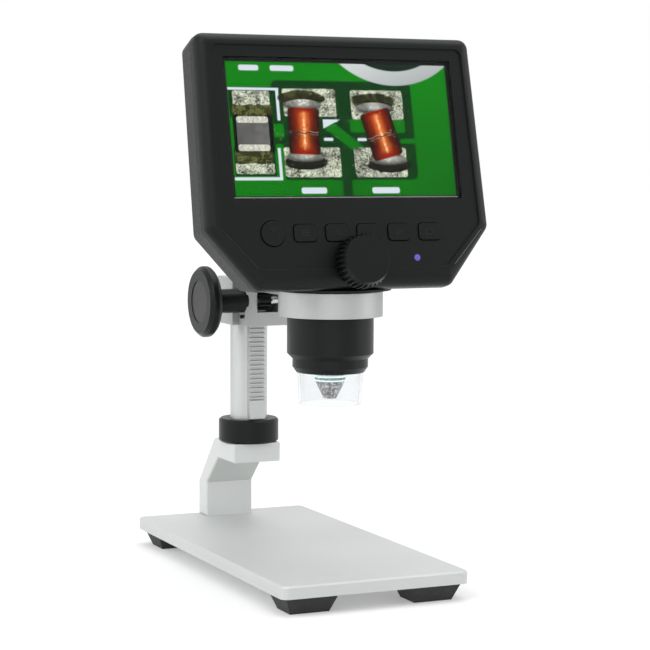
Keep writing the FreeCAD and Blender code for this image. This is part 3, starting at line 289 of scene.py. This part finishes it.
def steel(name, level=0.5):
    """Plain turned steel, clean and a little cloudy."""
    s = Shader(name)
    cloud = s.spread(s.noise(90.0))
    fine = s.noise(1200.0, detail=3.0)
    s.principled(Base_Color=s.mix(cloud, grey(level * 0.9), grey(level * 1.08)), Metallic=1.0,
                 Roughness=s.spread(fine, 0.22, 0.36),
                 Normal=s.bump(fine, strength=0.1, distance=0.03 * MM, round_edge=0.15 * MM))
    return s.material


def rubber(name):
    """Dull black rubber with pores and a little dust."""
    s = Shader(name)
    dust = s.span(s.noise(70.0, detail=6.0), 0.5, 0.8, 0.0, 0.5)
    pores = s.noise(1400.0)
    s.principled(Base_Color=s.mix(dust, grey(0.03), grey(0.055)), Roughness=s.spread(pores, 0.62, 0.82),
                 Normal=s.bump(pores, strength=0.3, distance=0.08 * MM, round_edge=0.4 * MM),
                 Specular_IOR_Level=0.35)
    return s.material


def satin_grey(name, level=0.027):
    """Smooth dark grey plastic, for the knob's inset disc and the works inside."""
    s = Shader(name)
    cloud = s.spread(s.noise(50.0))
    fine = s.noise(800.0, detail=3.0)
    s.principled(Base_Color=s.mix(cloud, grey(level * 0.92), grey(level * 1.08)), Specular_IOR_Level=0.2,
                 Roughness=s.spread(fine, 0.3, 0.4), Normal=s.bump(fine, strength=0.08, distance=0.03 * MM))
    return s.material


def lens_glass(name):
    """Clear glass with faint flow marks."""
    s = Shader(name)
    flow = s.noise(90.0, detail=3.0)
    s.principled(Base_Color=(0.9, 0.95, 0.97, 1.0), Roughness=s.spread(flow, 0.04, 0.12), IOR=1.45,
                 Transmission_Weight=1.0, Normal=s.bump(flow, strength=0.05, distance=0.1 * MM))
    return s.material


def clear_shell(name):
    """A thin clear moulding: open to the eye, milky where it is looked at along its wall."""
    s = Shader(name)
    flow = s.noise(140.0, detail=3.0)
    through = s.node("BsdfTransparent", {"Color": (0.966, 0.97, 0.975, 1.0)})
    haze = s.node("BsdfTranslucent", {"Color": (0.8, 0.83, 0.85, 1.0)})
    gloss = s.node("BsdfGlossy", {"Color": WHITE, "Roughness": s.spread(flow, 0.05, 0.12),
                                  "Normal": s.bump(flow, strength=0.08, distance=0.1 * MM)})
    along = s.node("LayerWeight", {"Blend": 0.5}).outputs["Facing"]
    factor = s.span(s.math("POWER", along, 3.0), 0.0, 1.0, 0.045, 0.6)
    s.show(s.mix_shaders(factor, through, s.mix_shaders(0.45, haze, gloss)))
    return s.material


def window_glass(name):
    """Thin clear glass: seen straight through, with a faint sheen that grows at a glancing look."""
    s = Shader(name)
    smear = s.noise(40.0)
    gloss = s.node("BsdfGlossy", {"Color": WHITE, "Roughness": s.spread(smear, 0.03, 0.1)})
    through = s.node("BsdfTransparent", {"Color": (0.985, 0.99, 0.99, 1.0)})
    glance = s.math("MULTIPLY", s.node("Fresnel", {"IOR": 1.35}).outputs[0], 0.2)
    s.show(s.mix_shaders(glance, through, gloss))
    return s.material


def bright_metal(name):
    """Bright turned metal with fine rings round its axis and specks that catch the light."""
    s = Shader(name)
    rings = s.noise(260.0, detail=3.0, rough=0.6, vector=s.stretched(RINGED))
    sparks = s.span(s.noise(1300.0, detail=3.0), 0.48, 0.62)
    turned = s.mix(s.span(rings, 0.35, 0.65), grey(0.06), grey(0.24))
    s.principled(Base_Color=s.mix(sparks, turned, grey(0.55)), Metallic=1.0,
                 Roughness=s.spread(rings, 0.16, 0.3), Normal=s.bump(rings, strength=0.3, distance=0.05 * MM))
    return s.material


def board(name):
    """Green board with patches of copper under the green."""
    s = Shader(name)
    patches = s.span(s.noise(120.0, detail=1.0), 0.48, 0.52)
    weave = s.noise(700.0, detail=2.0)
    s.principled(Base_Color=s.mix(patches, (0.012, 0.16, 0.05, 1.0), (0.02, 0.24, 0.08, 1.0)),
                 Roughness=s.spread(weave, 0.3, 0.42), Normal=s.bump(weave, strength=0.1, distance=0.03 * MM))
    return s.material


def glowing(name, colour, strength):
    """A glow that varies a little over its face, for the lamps and also for painted highlights that are no
    lamp.
    """
    s = Shader(name)
    patch = s.spread(s.noise(500.0, detail=2.0), strength * 0.85, strength)
    s.principled(Base_Color=colour, Roughness=0.25, Emission_Color=colour, Emission_Strength=patch)
    return s.material


def lit_picture(name):
    """The display's own light, coloured by the picture that is stored on the mesh."""
    s = Shader(name)
    tone = s.node("Attribute", attribute_name="picture").outputs["Color"]
    s.principled(Base_Color=grey(0.002), Roughness=0.3, Specular_IOR_Level=0.03, Emission_Color=tone,
                 Emission_Strength=1.0)
    return s.material


NODE_MATERIALS = {
    moulded_black("black_plastic"): ["front_bezel"],
    moulded_black("black_plastic_back", 0.009, 0.44, 0.7): ["rear_housing", "battery_hatch"],
    moulded_black("key_plastic", 0.0055, 0.34, 0.3): ["power_key", "menu_key", "left_key", "ok_key",
                                                      "right_key", "shutter_key"],
    moulded_black("wheel_plastic", 0.005, 0.36, 0.4): ["focus_wheel"],
    moulded_black("knob_plastic", 0.006, 0.32, 0.3): ["height_knob"],
    moulded_black("panel_black", 0.003, 0.5, 0.1): ["display_panel"],
    aluminium("blasted_aluminium", 0.58, 0.5, EVEN_GRAIN, 0.5, 0.35): ["base_plate"],
    aluminium("painted_aluminium", 0.64, 0.5, EVEN_GRAIN, 0.5, 0.3): ["bracket"],
    aluminium("satin_aluminium", 0.5, 0.36, DRAWN_UP, 0.4, 0.65): ["column", "column_rack", "column_cap"],
    aluminium("machined_aluminium", 0.42, 0.4, DRAWN_ACROSS, 0.3, 0.6): ["carriage", "clamp_ring"],
    black_metal("black_anodised"): ["lock_nut", "barrel_housing", "bearing_sleeve", "height_pinion"],
    steel("plain_steel"): ["base_screws", "column_bolt", "drag_screw", "ring_screw", "pinion_shaft",
                           "shaft_clip", "hatch_screw", "housing_screws", "usb_port", "card_slot"],
    rubber("foot_rubber"): ["rubber_feet"],
    satin_grey("cap_grey"): ["knob_cap", "drag_pad", "focus_shaft", "focus_gear", "focus_rack",
                             "lens_carrier", "battery", "key_switches"],
    clear_shell("clear_acrylic"): ["clear_snoot"],
    window_glass("window_glass"): ["screen_window"],
    lens_glass("lens_glass"): ["objective_lens"],
    bright_metal("turned_bright"): ["lens_cone"],
    board("board_green"): ["main_board", "key_board", "sensor_board", "light_board"],
    glowing("lamp_white", (0.95, 0.98, 1.0, 1.0), 2.0): ["light_leds"],
    glowing("indicator_violet", (0.09, 0.07, 0.36, 1.0), 0.4): ["indicator_lens"],
}


def give(thing, material):
    """Puts one material on a CAD node or a piece."""
    if not thing.material_slots:
        thing.data.materials.append(material)
    for slot in thing.material_slots:
        slot.link = "OBJECT"
        slot.material = material


for node_material, names in NODE_MATERIALS.items():
    for node_name in names:
        give(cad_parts[node_name], node_material)


# The picture: a generic close view of a circuit board, painted by formulas. Its places and sizes are in
# millimetres from its middle. A box is its middle, its half width, its half height and its corners' radius.

INK = (0.72, 0.78, 0.86)
PITCH_DARK = (0.0, 0.004, 0.001)
HOLE_DARK = (0.004, 0.02, 0.01)
SOLDER_DARK = (0.008, 0.008, 0.004)
CAP_SHADOW = (0.006, 0.008, 0.004)
GLINT = (0.95, 0.24, 0.03)
GLINT_MIDDLE = (1.0, 0.62, 0.35)
SEAM_DARK = (0.01, 0.004, 0.002)
SEAM_GLEAM = (0.75, 0.55, 0.4)
STRAY_SOLDER = (0.45, 0.6, 0.4)
BARE_BOARD = [(1.0, -0.4, 30.3, 19.8, 2.5), (0.0, -23.0, 2.1, 4.5, 0.3)]
TRACKS = [(29.5, -4.6, 4.6, 1.0, 0.4), (-27.4, -0.7, 2.1, 2.7, 0.3), (-27.6, -14.0, 1.6, 8.0, 0.3),
          (15.3, 1.4, 12.0, 2.6, 0.5)]
SLANTING_TRACK = (-5.6, 1.4, 6.1, -7.6, 2.1)
BARE_LEFT = [(-38.0, 10.5, 9.3, 6.0, 0.4), (-38.3, -13.0, 8.6, 5.6, 0.4)]
PRINTED_LINES = [(-36.8, 15.8, 10.6, 0.5, 0.2), (-26.9, 9.8, 0.6, 6.4, 0.2), (-37.3, -19.7, 10.0, 0.6, 0.2),
                 (-27.9, -13.8, 0.6, 6.2, 0.2), (-5.2, 3.4, 3.0, 0.5, 0.3)]
PLAIN_BARS = [(-38.0, 24.2, 4.2, 1.1, 0.9), (-24.0, 24.2, 5.0, 1.1, 0.9), (-14.5, -24.4, 5.4, 1.2, 0.9),
              (16.5, -24.4, 6.0, 1.2, 0.9), (-6.5, -4.0, 2.0, 0.6, 0.5), (8.0, -4.0, 2.0, 0.6, 0.5)]
WEDGE_TOP = 3.9
WEDGE_LEFT = -8.3
WEDGE_CORNER = (-7.8, 0.6)
WEDGE_FALL = (0.44, 0.9)
HOLE_CENTRE = (24.4, 49.7)
HOLE_RING = (34.4, 31.7)
HOLE_INSIDE = (28.2, 25.9)
PADS = [(-37.9, 11.8, 7.7, 3.3, 1.0), (-38.5, -15.6, 8.1, 2.2, 1.0), (-13.4, 10.6, 11.3, 5.6, 1.0),
        (-14.0, -13.2, 12.0, 5.9, 1.0), (15.8, 10.0, 11.4, 5.9, 1.0), (15.4, -13.2, 11.4, 5.9, 1.0)]
FLAT_PART_SOLDER = [(-37.9, 6.9, 8.4, 2.6, 1.0), (-38.6, -10.8, 7.8, 3.0, 1.5)]
FLAT_PART_SHADOWS = [(-45.2, -1.8, 1.2, 7.4, 0.5), (-30.7, -1.8, 1.3, 7.4, 0.5)]
FLAT_PART_BODY = (-38.2, -1.9, 6.7, 4.6, 0.3)
FLAT_PART_ENDS = [(-38.2, 3.6, 6.6, 1.25, 1.0), (-38.2, -7.5, 6.6, 1.25, 1.0)]
GLASS_HALF = 6.7
GLASS_PARTS = [((-16.4, 7.8), (-17.0, -9.4)), ((14.4, 6.9), (19.0, -10.6))]
SPECK_COUNT = 90
SPECK_SEED = 8
NOISE_CELLS = 64
NOISE_SHIFT = (17.0, 29.0)


def smooth_step(low, high, value):
    t = np.clip((value - low) / (high - low), 0.0, 1.0)
    return t * t * (3.0 - 2.0 * t)


def rounded_box(x, y, cx, cy, half_x, half_y, corner):
    """Signed distance to a rounded rectangle."""
    dx = np.abs(x - cx) - half_x + corner
    dy = np.abs(y - cy) - half_y + corner
    return np.hypot(np.maximum(dx, 0.0), np.maximum(dy, 0.0)) + np.minimum(np.maximum(dx, dy), 0.0) - corner


def straight_bar(x, y, ax, ay, bx, by, half):
    """Signed distance to a straight bar between two places."""
    px, py = x - ax, y - ay
    dx, dy = bx - ax, by - ay
    t = np.clip((px * dx + py * dy) / (dx * dx + dy * dy), 0.0, 1.0)
    return np.hypot(px - dx * t, py - dy * t) - half


def oval(x, y, cx, cy, half_x, half_y):
    """Rough signed distance to an ellipse."""
    return (np.hypot((x - cx) / half_x, (y - cy) / half_y) - 1.0) * min(half_x, half_y)


def value_noise(x, y, scale, seed):
    """Smooth noise from random values on a grid of cells."""
    table = np.random.default_rng(seed).random((NOISE_CELLS, NOISE_CELLS))
    gx, gy = x * scale + NOISE_SHIFT[0], y * scale + NOISE_SHIFT[1]
    ix, iy = np.floor(gx).astype(int), np.floor(gy).astype(int)
    fx, fy = smooth_step(0.0, 1.0, gx - ix), smooth_step(0.0, 1.0, gy - iy)

    def corner(right, up):
        return table[(ix + right) % NOISE_CELLS, (iy + up) % NOISE_CELLS]

    low = corner(0, 0) * (1.0 - fx) + corner(1, 0) * fx
    high = corner(0, 1) * (1.0 - fx) + corner(1, 1) * fx
    return low * (1.0 - fy) + high * fy


def colours(red, green, blue):
    """One array of colours from three arrays or numbers."""
    return np.stack(np.broadcast_arrays(red, green, blue), axis=-1)


class Painting:
    """A picture in the making: its places, its colours so far and the noises that its layers share."""

    def __init__(self, x, y):
        self.x, self.y = x, y
        self.fine = value_noise(x, y, 1.9, 3)
        self.coarse = value_noise(x, y, 0.6, 4)
        self.speck = smooth_step(0.5, 0.62, 0.55 * self.fine + 0.45 * self.coarse)
        self.grains = value_noise(x, y, 2.6, 6)
        self.ragged = self.coarse - 0.5
        drift = value_noise(x, y, 0.05, 5)
        self.green = colours(0.0, 0.17 + 0.05 * drift + 0.0012 * y - 0.0002 * x, 0.001)
        self.dark_green = colours(0.0, 0.028 + 0.02 * self.coarse, 0.003)
        self.grime = colours(0.03 + 0.1 * self.speck, 0.035 + 0.1 * self.speck, 0.008 + 0.03 * self.speck)
        self.colour = self.green.copy()

    def lay(self, distance, tone, soft=0.18, strength=1.0):
        """Covers what lies inside a signed distance, with a soft edge."""
        cover = (strength * (1.0 - smooth_step(-soft, soft, distance)))[..., None]
        self.colour = self.colour * (1.0 - cover) + np.asarray(tone) * cover

    def lay_boxes(self, boxes, tone, roughness=0.0):
        for box in boxes:
            self.lay(rounded_box(self.x, self.y, *box) + roughness * self.ragged, tone)

    def lay_oval(self, cx, cy, half_x, half_y, tone, roughness=0.0, soft=0.18, strength=1.0):
        self.lay(oval(self.x, self.y, cx, cy, half_x, half_y) + roughness * self.ragged, tone, soft, strength)


def paint_board(p):
    """Bare board round the pads, with the tracks that cross it."""
    p.lay_boxes(BARE_BOARD, p.dark_green)
    p.lay_boxes(TRACKS, p.green)
    p.lay(straight_bar(p.x, p.y, *SLANTING_TRACK), p.green)
    p.lay_boxes(BARE_LEFT, p.dark_green)


def paint_print(p):
    """Printed lines, plain bars, a wedge and the ring round a hole."""
    p.lay_boxes(PRINTED_LINES + PLAIN_BARS, INK)
    slope = (p.x - WEDGE_CORNER[0]) * WEDGE_FALL[0] - (p.y - WEDGE_CORNER[1]) * WEDGE_FALL[1]
    p.lay(np.maximum(np.maximum(p.y - WEDGE_TOP, WEDGE_LEFT - p.x), slope), INK)
    pale = 0.3 + 0.4 * np.clip(0.5 + 0.035 * (p.y - 18.0) + 0.012 * (24.0 - p.x), 0.0, 1.0)
    p.lay_oval(*HOLE_CENTRE, *HOLE_RING, colours(pale * 0.94, pale, pale), soft=0.25)
    p.lay_oval(*HOLE_CENTRE, *HOLE_INSIDE, HOLE_DARK, soft=0.25)


def paint_pads(p):
    """Pads with their speckled solder."""
    patches = value_noise(p.x, p.y, 0.28, 7)
    sheen = np.clip(0.1 + 0.5 * patches + 0.75 * (p.grains - 0.42) + 0.35 * p.speck, 0.02, 1.0)
    p.lay_boxes(PADS, colours(0.8 * sheen, 0.85 * sheen, 0.66 * sheen), roughness=0.35)


def paint_flat_part(p):
    """The flat grey part with its bright ends."""
    p.lay_boxes(FLAT_PART_SOLDER, p.grime, roughness=0.6)
    p.lay_boxes(FLAT_PART_SHADOWS, PITCH_DARK)
    shade = 0.1 + 0.05 * p.coarse + 0.003 * (p.x + 38.0)
    p.lay_boxes([FLAT_PART_BODY], colours(shade, shade, shade * 0.97))
    end = 0.4 + 0.5 * p.grains
    p.lay_boxes(FLAT_PART_ENDS, colours(end, end, end * 0.85))


def paint_end_caps(p, top, low):
    """The solder cups and metal caps at both ends of a glass-bodied part."""
    half = GLASS_HALF
    p.lay_oval(top[0] - 0.3, top[1] + 4.6, half * 1.45, 3.2, p.grime * 0.5, roughness=0.4)
    p.lay_oval(low[0] + 0.2, low[1] - 3.9, half * 1.4, 2.9, SOLDER_DARK, roughness=0.4)
    for cx, cy in ((top[0], top[1] + 2.0), (low[0], low[1] - 1.7)):
        p.lay_oval(cx, cy, half * 1.27, 2.75, CAP_SHADOW, roughness=0.3, soft=0.4, strength=0.85)
        lift = smooth_step(-1.9, 1.0, p.y - cy + 0.35)
        middle = np.exp(-((p.x - cx) / (half * 0.5)) ** 2)
        face = 0.03 + 0.6 * lift * (0.25 + 0.75 * middle) * (0.75 + 0.5 * p.speck)
        p.lay_oval(cx, cy, half * 1.16, 2.1, colours(face, face, face * 0.88))


def paint_glass_part(p, top, low):
    """A glass-bodied part: end caps, a dark red body with a glint along it and a seam across it."""
    paint_end_caps(p, top, low)
    half = GLASS_HALF
    length = math.dist(top, low)
    along_x, along_y = (low[0] - top[0]) / length, (low[1] - top[1]) / length
    down = (p.x - top[0]) * along_x + (p.y - top[1]) * along_y
    side = (p.x - top[0]) * along_y - (p.y - top[1]) * along_x
    body = rounded_box(down, side, length / 2, 0.0, length / 2 + 0.7, half, 1.6)

    bulge = np.clip(1.0 - (side / half) ** 2, 0.0, 1.0)
    depth = 0.55 + 0.7 * smooth_step(0.0, 0.35, np.abs(down / length - 0.62))
    p.lay(body, colours((0.012 + 0.26 * bulge ** 2.0) * depth, (0.001 + 0.008 * bulge) * depth, 0.0))

    ends = smooth_step(0.0, 2.0, down) * (1.0 - smooth_step(length - 3.0, length - 0.5, down))
    offset = side + half * 0.02
    glint = np.exp(-(offset / (half * 0.27)) ** 2) * (0.8 + 0.5 * (p.fine - 0.5))
    p.lay(body + 0.4, GLINT, 0.3, np.clip(glint * ends, 0.0, 1.0))
    spine = np.exp(-(offset / (half * 0.07)) ** 2) * ends * (0.4 + 0.8 * p.speck)
    p.lay(body + 0.4, GLINT_MIDDLE, 0.3, np.clip(spine, 0.0, 1.0))

    seam = np.abs(down - length * 0.54 - 0.25 * np.cos(side * 1.3)) - 0.22
    p.lay(np.maximum(seam, body + 0.3), SEAM_DARK)
    p.lay(np.maximum(np.abs(seam - 0.25) - 0.1, body + 0.6), SEAM_GLEAM, 0.15, 0.6 * p.speck)


def paint_specks(p):
    """Stray specks of solder."""
    rng = np.random.default_rng(SPECK_SEED)
    for _ in range(SPECK_COUNT):
        cx, cy = rng.uniform(-30.0, 32.0), rng.uniform(-20.0, 18.5)
        radius = rng.uniform(0.05, 0.22)
        p.lay(np.hypot(p.x - cx, p.y - cy) - radius, STRAY_SOLDER, 0.1, rng.uniform(0.3, 0.9))


def paint_picture(x, y):
    """Colour at places of the picture: three parts soldered to a green board."""
    p = Painting(x, y)
    paint_board(p)
    paint_print(p)
    paint_pads(p)
    paint_flat_part(p)
    for top, low in GLASS_PARTS:
        paint_glass_part(p, top, low)
    paint_specks(p)
    return p.colour


# Pieces

def piece(name, mesh, body, material, smooth=True):
    """A finished piece that rides on one body."""
    thing = bpy.data.objects.new(name, mesh)
    bpy.context.scene.collection.objects.link(thing)
    for face in mesh.polygons:
        face.use_smooth = smooth
    give(thing, material)
    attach(thing, body)


def mesh_from(work, name):
    """The mesh of a finished bmesh, its faces turned outwards."""
    bmesh.ops.recalc_face_normals(work, faces=work.faces)
    mesh = bpy.data.meshes.new(name)
    work.to_mesh(mesh)
    work.free()
    return mesh


def picture():
    """The lit picture: a fine grid just behind the window, coloured point by point."""
    across, up = PICTURE_CELLS_ACROSS, PICTURE_CELLS_UP
    u, v = np.meshgrid(np.linspace(-1.0, 1.0, across + 1), np.linspace(-1.0, 1.0, up + 1))
    right, high = u * PICTURE_HALF_WIDE, v * PICTURE_HALF_HIGH
    middle = np.array(head_point(0.0, PICTURE_DEPTH, 0.0))
    points = middle + right[..., None] * np.array(RIGHT) + high[..., None] * np.array(UPWARD)
    row = np.arange(across)[None, :] + (across + 1) * np.arange(up)[:, None]
    faces = np.stack([row, row + 1, row + across + 2, row + across + 1], axis=-1)
    mesh = bpy.data.meshes.new("screen_picture")
    mesh.from_pydata(points.reshape(-1, 3).tolist(), [], faces.reshape(-1, 4).tolist())
    tones = np.clip(paint_picture(right / MM, high / MM).reshape(-1, 3), 0.0, 1.0)
    rgba = np.concatenate([tones, np.ones((len(tones), 1))], axis=1)
    layer = mesh.color_attributes.new("picture", "FLOAT_COLOR", "POINT")
    layer.data.foreach_set("color", rgba.astype(np.float32).ravel())
    piece("screen_picture", mesh, "head", lit_picture("lit_picture"))


def strokes(name, runs, centre, near, far, width):
    """Straight strokes of one width between the points of each run, as flat boxes on the head's face."""
    work = bmesh.new()
    for points in runs:
        for start, end in zip(points, points[1:]):
            start, end = Vector(start), Vector(end)
            along = (end - start).normalized()
            reach = along * width * STROKE_OVERLAP
            across = Vector((-along.y, along.x)) * width / 2.0
            start, end = start - reach, end + reach
            outline = [start + across, end + across, end - across, start - across]
            front, back = [[work.verts.new(head_point(centre[0] + corner.x, depth, centre[1] + corner.y))
                            for corner in outline] for depth in (near, far)]
            work.faces.new(front)
            work.faces.new(back[::-1])
            for k in range(4):
                work.faces.new((front[k], back[k], back[(k + 1) % 4], front[(k + 1) % 4]))
    return mesh_from(work, name)


def arc(radius, start, end, steps):
    turns = [math.radians(start + (end - start) * k / steps) for k in range(steps + 1)]
    return [(radius * math.cos(turn), radius * math.sin(turn)) for turn in turns]


def triangle(tip):
    """A small triangle whose tip points to one side, which is 1 for right and -1 for left."""
    return [(-1.0 * tip, 1.2), (1.2 * tip, 0.0), (-1.0 * tip, -1.2), (-1.0 * tip, 1.2)]


def rectangle(half_x, half_y):
    return [(-half_x, -half_y), (half_x, -half_y), (half_x, half_y), (-half_x, half_y), (-half_x, -half_y)]


# The signs on the keys from left to right, as runs of points in millimetres from each key's middle
KEY_SIGNS = {
    "power_key": [arc(1.7, 125, 415, 20), [(0.0, 0.5), (0.0, 2.1)]],
    "menu_key": [[(-1.6, level), (1.6, level)] for level in (-0.9, 0.0, 0.9)],
    "left_key": [triangle(-1)],
    "ok_key": [arc(1.2, 0, 360, 20)],
    "right_key": [triangle(1)],
    "shutter_key": [rectangle(1.7, 1.1), arc(0.6, 0, 360, 14)],
}


def in_metres(points):
    return [(x * MM, y * MM) for x, y in points]


def key_marks():
    """Small plain signs on the keys, barely lighter than the keys themselves."""
    mark = moulded_black("mark_print", 0.012, 0.5, 0.1)
    for number, (key, runs) in enumerate(KEY_SIGNS.items()):
        name = key + "_mark"
        centre = (KEY_FIRST + KEY_PITCH * number, KEY_UP)
        mesh = strokes(name, map(in_metres, runs), centre, KEY_FACE - MARK_PROUD, KEY_FACE + MARK_DEEP,
                       MARK_WIDE)
        piece(name, mesh, key, mark, smooth=False)


def screen_line():
    """A painted highlight: a thin bright strip of lighter metal along the display's lower edge, standing for
    the light on that edge.
    """
    run = [(-SCREEN_LINE_HALF, 0.0), (SCREEN_LINE_HALF, 0.0)]
    near, far = SCREEN_LINE_DEPTH, SCREEN_LINE_DEPTH + MARK_DEEP
    mesh = strokes("screen_edge_highlight", [run], (0.0, SCREEN_LINE_UP), near, far, SCREEN_LINE_WIDE)
    piece("screen_edge_highlight", mesh, "head", aluminium("painted_edge_highlight", 0.45, 0.4), smooth=False)


def border_lights():
    """Painted highlights: lighter strips for the light that catches the raised border where it turns down
    beside the keys.
    """
    for name, level, run in BORDER_LIGHTS:
        mesh = strokes(name, [in_metres(run)], (0.0, 0.0), -MARK_PROUD, MARK_DEEP, BORDER_LIGHT_WIDE)
        material = moulded_black(name + "_edge", level, 0.4, 0.1)
        piece(name, mesh, "head", material, smooth=False)


def carriage_pin():
    """The small dark set screw at the block's front left corner."""
    work = bmesh.new()
    turn = PIN_OUTWARD.to_track_quat("Z", "Y").to_matrix().to_4x4()
    middle = PIN_PLACE - PIN_OUTWARD * (PIN_LONG / 2.0 - PIN_PROUD)
    bmesh.ops.create_cone(work, cap_ends=True, segments=PIN_SIDES, radius1=PIN_RADIUS, radius2=PIN_RADIUS,
                          depth=PIN_LONG, matrix=Matrix.Translation(middle) @ turn)
    mesh = mesh_from(work, "carriage_pin")
    piece("carriage_pin", mesh, "carriage", black_metal("pin_black", 0.01, 0.4), smooth=False)


def ring_round_lens(name, level, radius, thick, material):
    """A thin round ring about the lens axis."""
    work = bmesh.new()
    around, section = RING_STEPS_AROUND, RING_STEPS_SECTION
    rows = []
    for turn in (2.0 * math.pi * k / around for k in range(around)):
        row = []
        for tip in (2.0 * math.pi * m / section for m in range(section)):
            out = radius + thick * math.cos(tip)
            offset = Vector((out * math.cos(turn), out * math.sin(turn), level + thick * math.sin(tip)))
            row.append(work.verts.new(LENS_AXIS + offset))
        rows.append(row)
    for k in range(around):
        here, there = rows[k], rows[(k + 1) % around]
        for m in range(section):
            following = (m + 1) % section
            work.faces.new((here[m], there[m], there[following], here[following]))
    piece(name, mesh_from(work, name), "head", material)


def lens_highlight_rings():
    # Painted highlight: these rings glow though they are no lamp.
    highlight_glow = glowing("ring_painted_highlight", (0.62, 0.8, 0.8, 1.0), 0.8)
    for name, level, radius, thick in LENS_HIGHLIGHT_RINGS:
        ring_round_lens(name, level, radius, thick, highlight_glow)


picture()
key_marks()
screen_line()
border_lights()
carriage_pin()
lens_highlight_rings()


# Stage, lamps and camera

def floor():
    """A pale floor that keeps the shadow. Away from the object, eyes see it grow to white."""
    mesh = bpy.data.meshes.new("floor")
    corners = [(x * FLOOR_HALF, y * FLOOR_HALF, 0.0) for x, y in ((-1, -1), (1, -1), (1, 1), (-1, 1))]
    mesh.from_pydata(corners, [], [(0, 1, 2, 3)])
    ground = bpy.data.objects.new("floor", mesh)
    bpy.context.scene.collection.objects.link(ground)
    s = Shader("floor_white")
    path = s.node("LightPath").outputs
    seen = s.highest(path["Is Camera Ray"], path["Is Transmission Ray"])
    mirrored = s.math("MULTIPLY", path["Is Glossy Ray"], MIRRORED_GLOW)
    reach = s.node("VectorMath", {0: s.place()}, operation="LENGTH").outputs["Value"]
    away = s.highest(s.span(reach, *GLOW_NEAR), s.span(reach, *GLOW_FAR))
    strength = s.math("ADD", s.math("MULTIPLY", seen, away), mirrored)
    lit = s.node("BsdfDiffuse", {"Color": FLOOR_TONE})
    glow = s.node("Emission", {"Color": WHITE, "Strength": strength})
    s.show(s.node("AddShader", {0: lit.outputs[0], 1: glow.outputs[0]}))
    give(ground, s.material)


def surround():
    """Soft studio light all round, which eyes, mirrors and glass see as plain white."""
    world = bpy.data.worlds.new("studio")
    bpy.context.scene.world = world
    s = Nodes(world, "OutputWorld")
    path = s.node("LightPath").outputs
    seen = s.highest(path["Is Camera Ray"], path["Is Transmission Ray"], path["Is Glossy Ray"])
    soft_light = s.node("Background", {"Color": STUDIO_TONE, "Strength": STUDIO_LEVEL})
    s.show(s.mix_shaders(seen, soft_light, s.node("Background", {"Color": WHITE})))


def lamp(name, place, wide, high, power):
    light = bpy.data.lights.new(name, "AREA")
    light.shape = "RECTANGLE"
    light.size = wide
    light.size_y = high
    light.energy = power
    thing = bpy.data.objects.new(name, light)
    thing.location = place
    thing.rotation_euler = (Vector(LAMP_TARGET) - Vector(place)).to_track_quat("-Z", "Y").to_euler()
    bpy.context.scene.collection.objects.link(thing)


def camera():
    """The camera at the photograph's place and angle, with its field of view."""
    level_forward = Vector((math.sin(CAMERA_YAW), math.cos(CAMERA_YAW), 0.0))
    forward = level_forward * math.cos(CAMERA_PITCH) - Vector((0.0, 0.0, math.sin(CAMERA_PITCH)))
    right = Vector((math.cos(CAMERA_YAW), -math.sin(CAMERA_YAW), 0.0))
    up = right.cross(forward)
    turned_right = right * math.cos(CAMERA_ROLL) + up * math.sin(CAMERA_ROLL)
    turned_up = up * math.cos(CAMERA_ROLL) - right * math.sin(CAMERA_ROLL)
    data = bpy.data.cameras.new("camera")
    data.sensor_width = SENSOR_MM
    data.lens = FOCAL_PIXELS / FRAME_PIXELS * SENSOR_MM
    data.clip_start = CAMERA_NEAR
    thing = bpy.data.objects.new("camera", data)
    basis = Matrix((turned_right, turned_up, -forward)).transposed().to_4x4()
    thing.matrix_world = Matrix.Translation(CAMERA_PLACE) @ basis
    bpy.context.scene.collection.objects.link(thing)
    bpy.context.scene.camera = thing


floor()
surround()
for settings in LAMPS:
    lamp(*settings)
camera()
bpy.context.scene.view_settings.view_transform = "Standard"
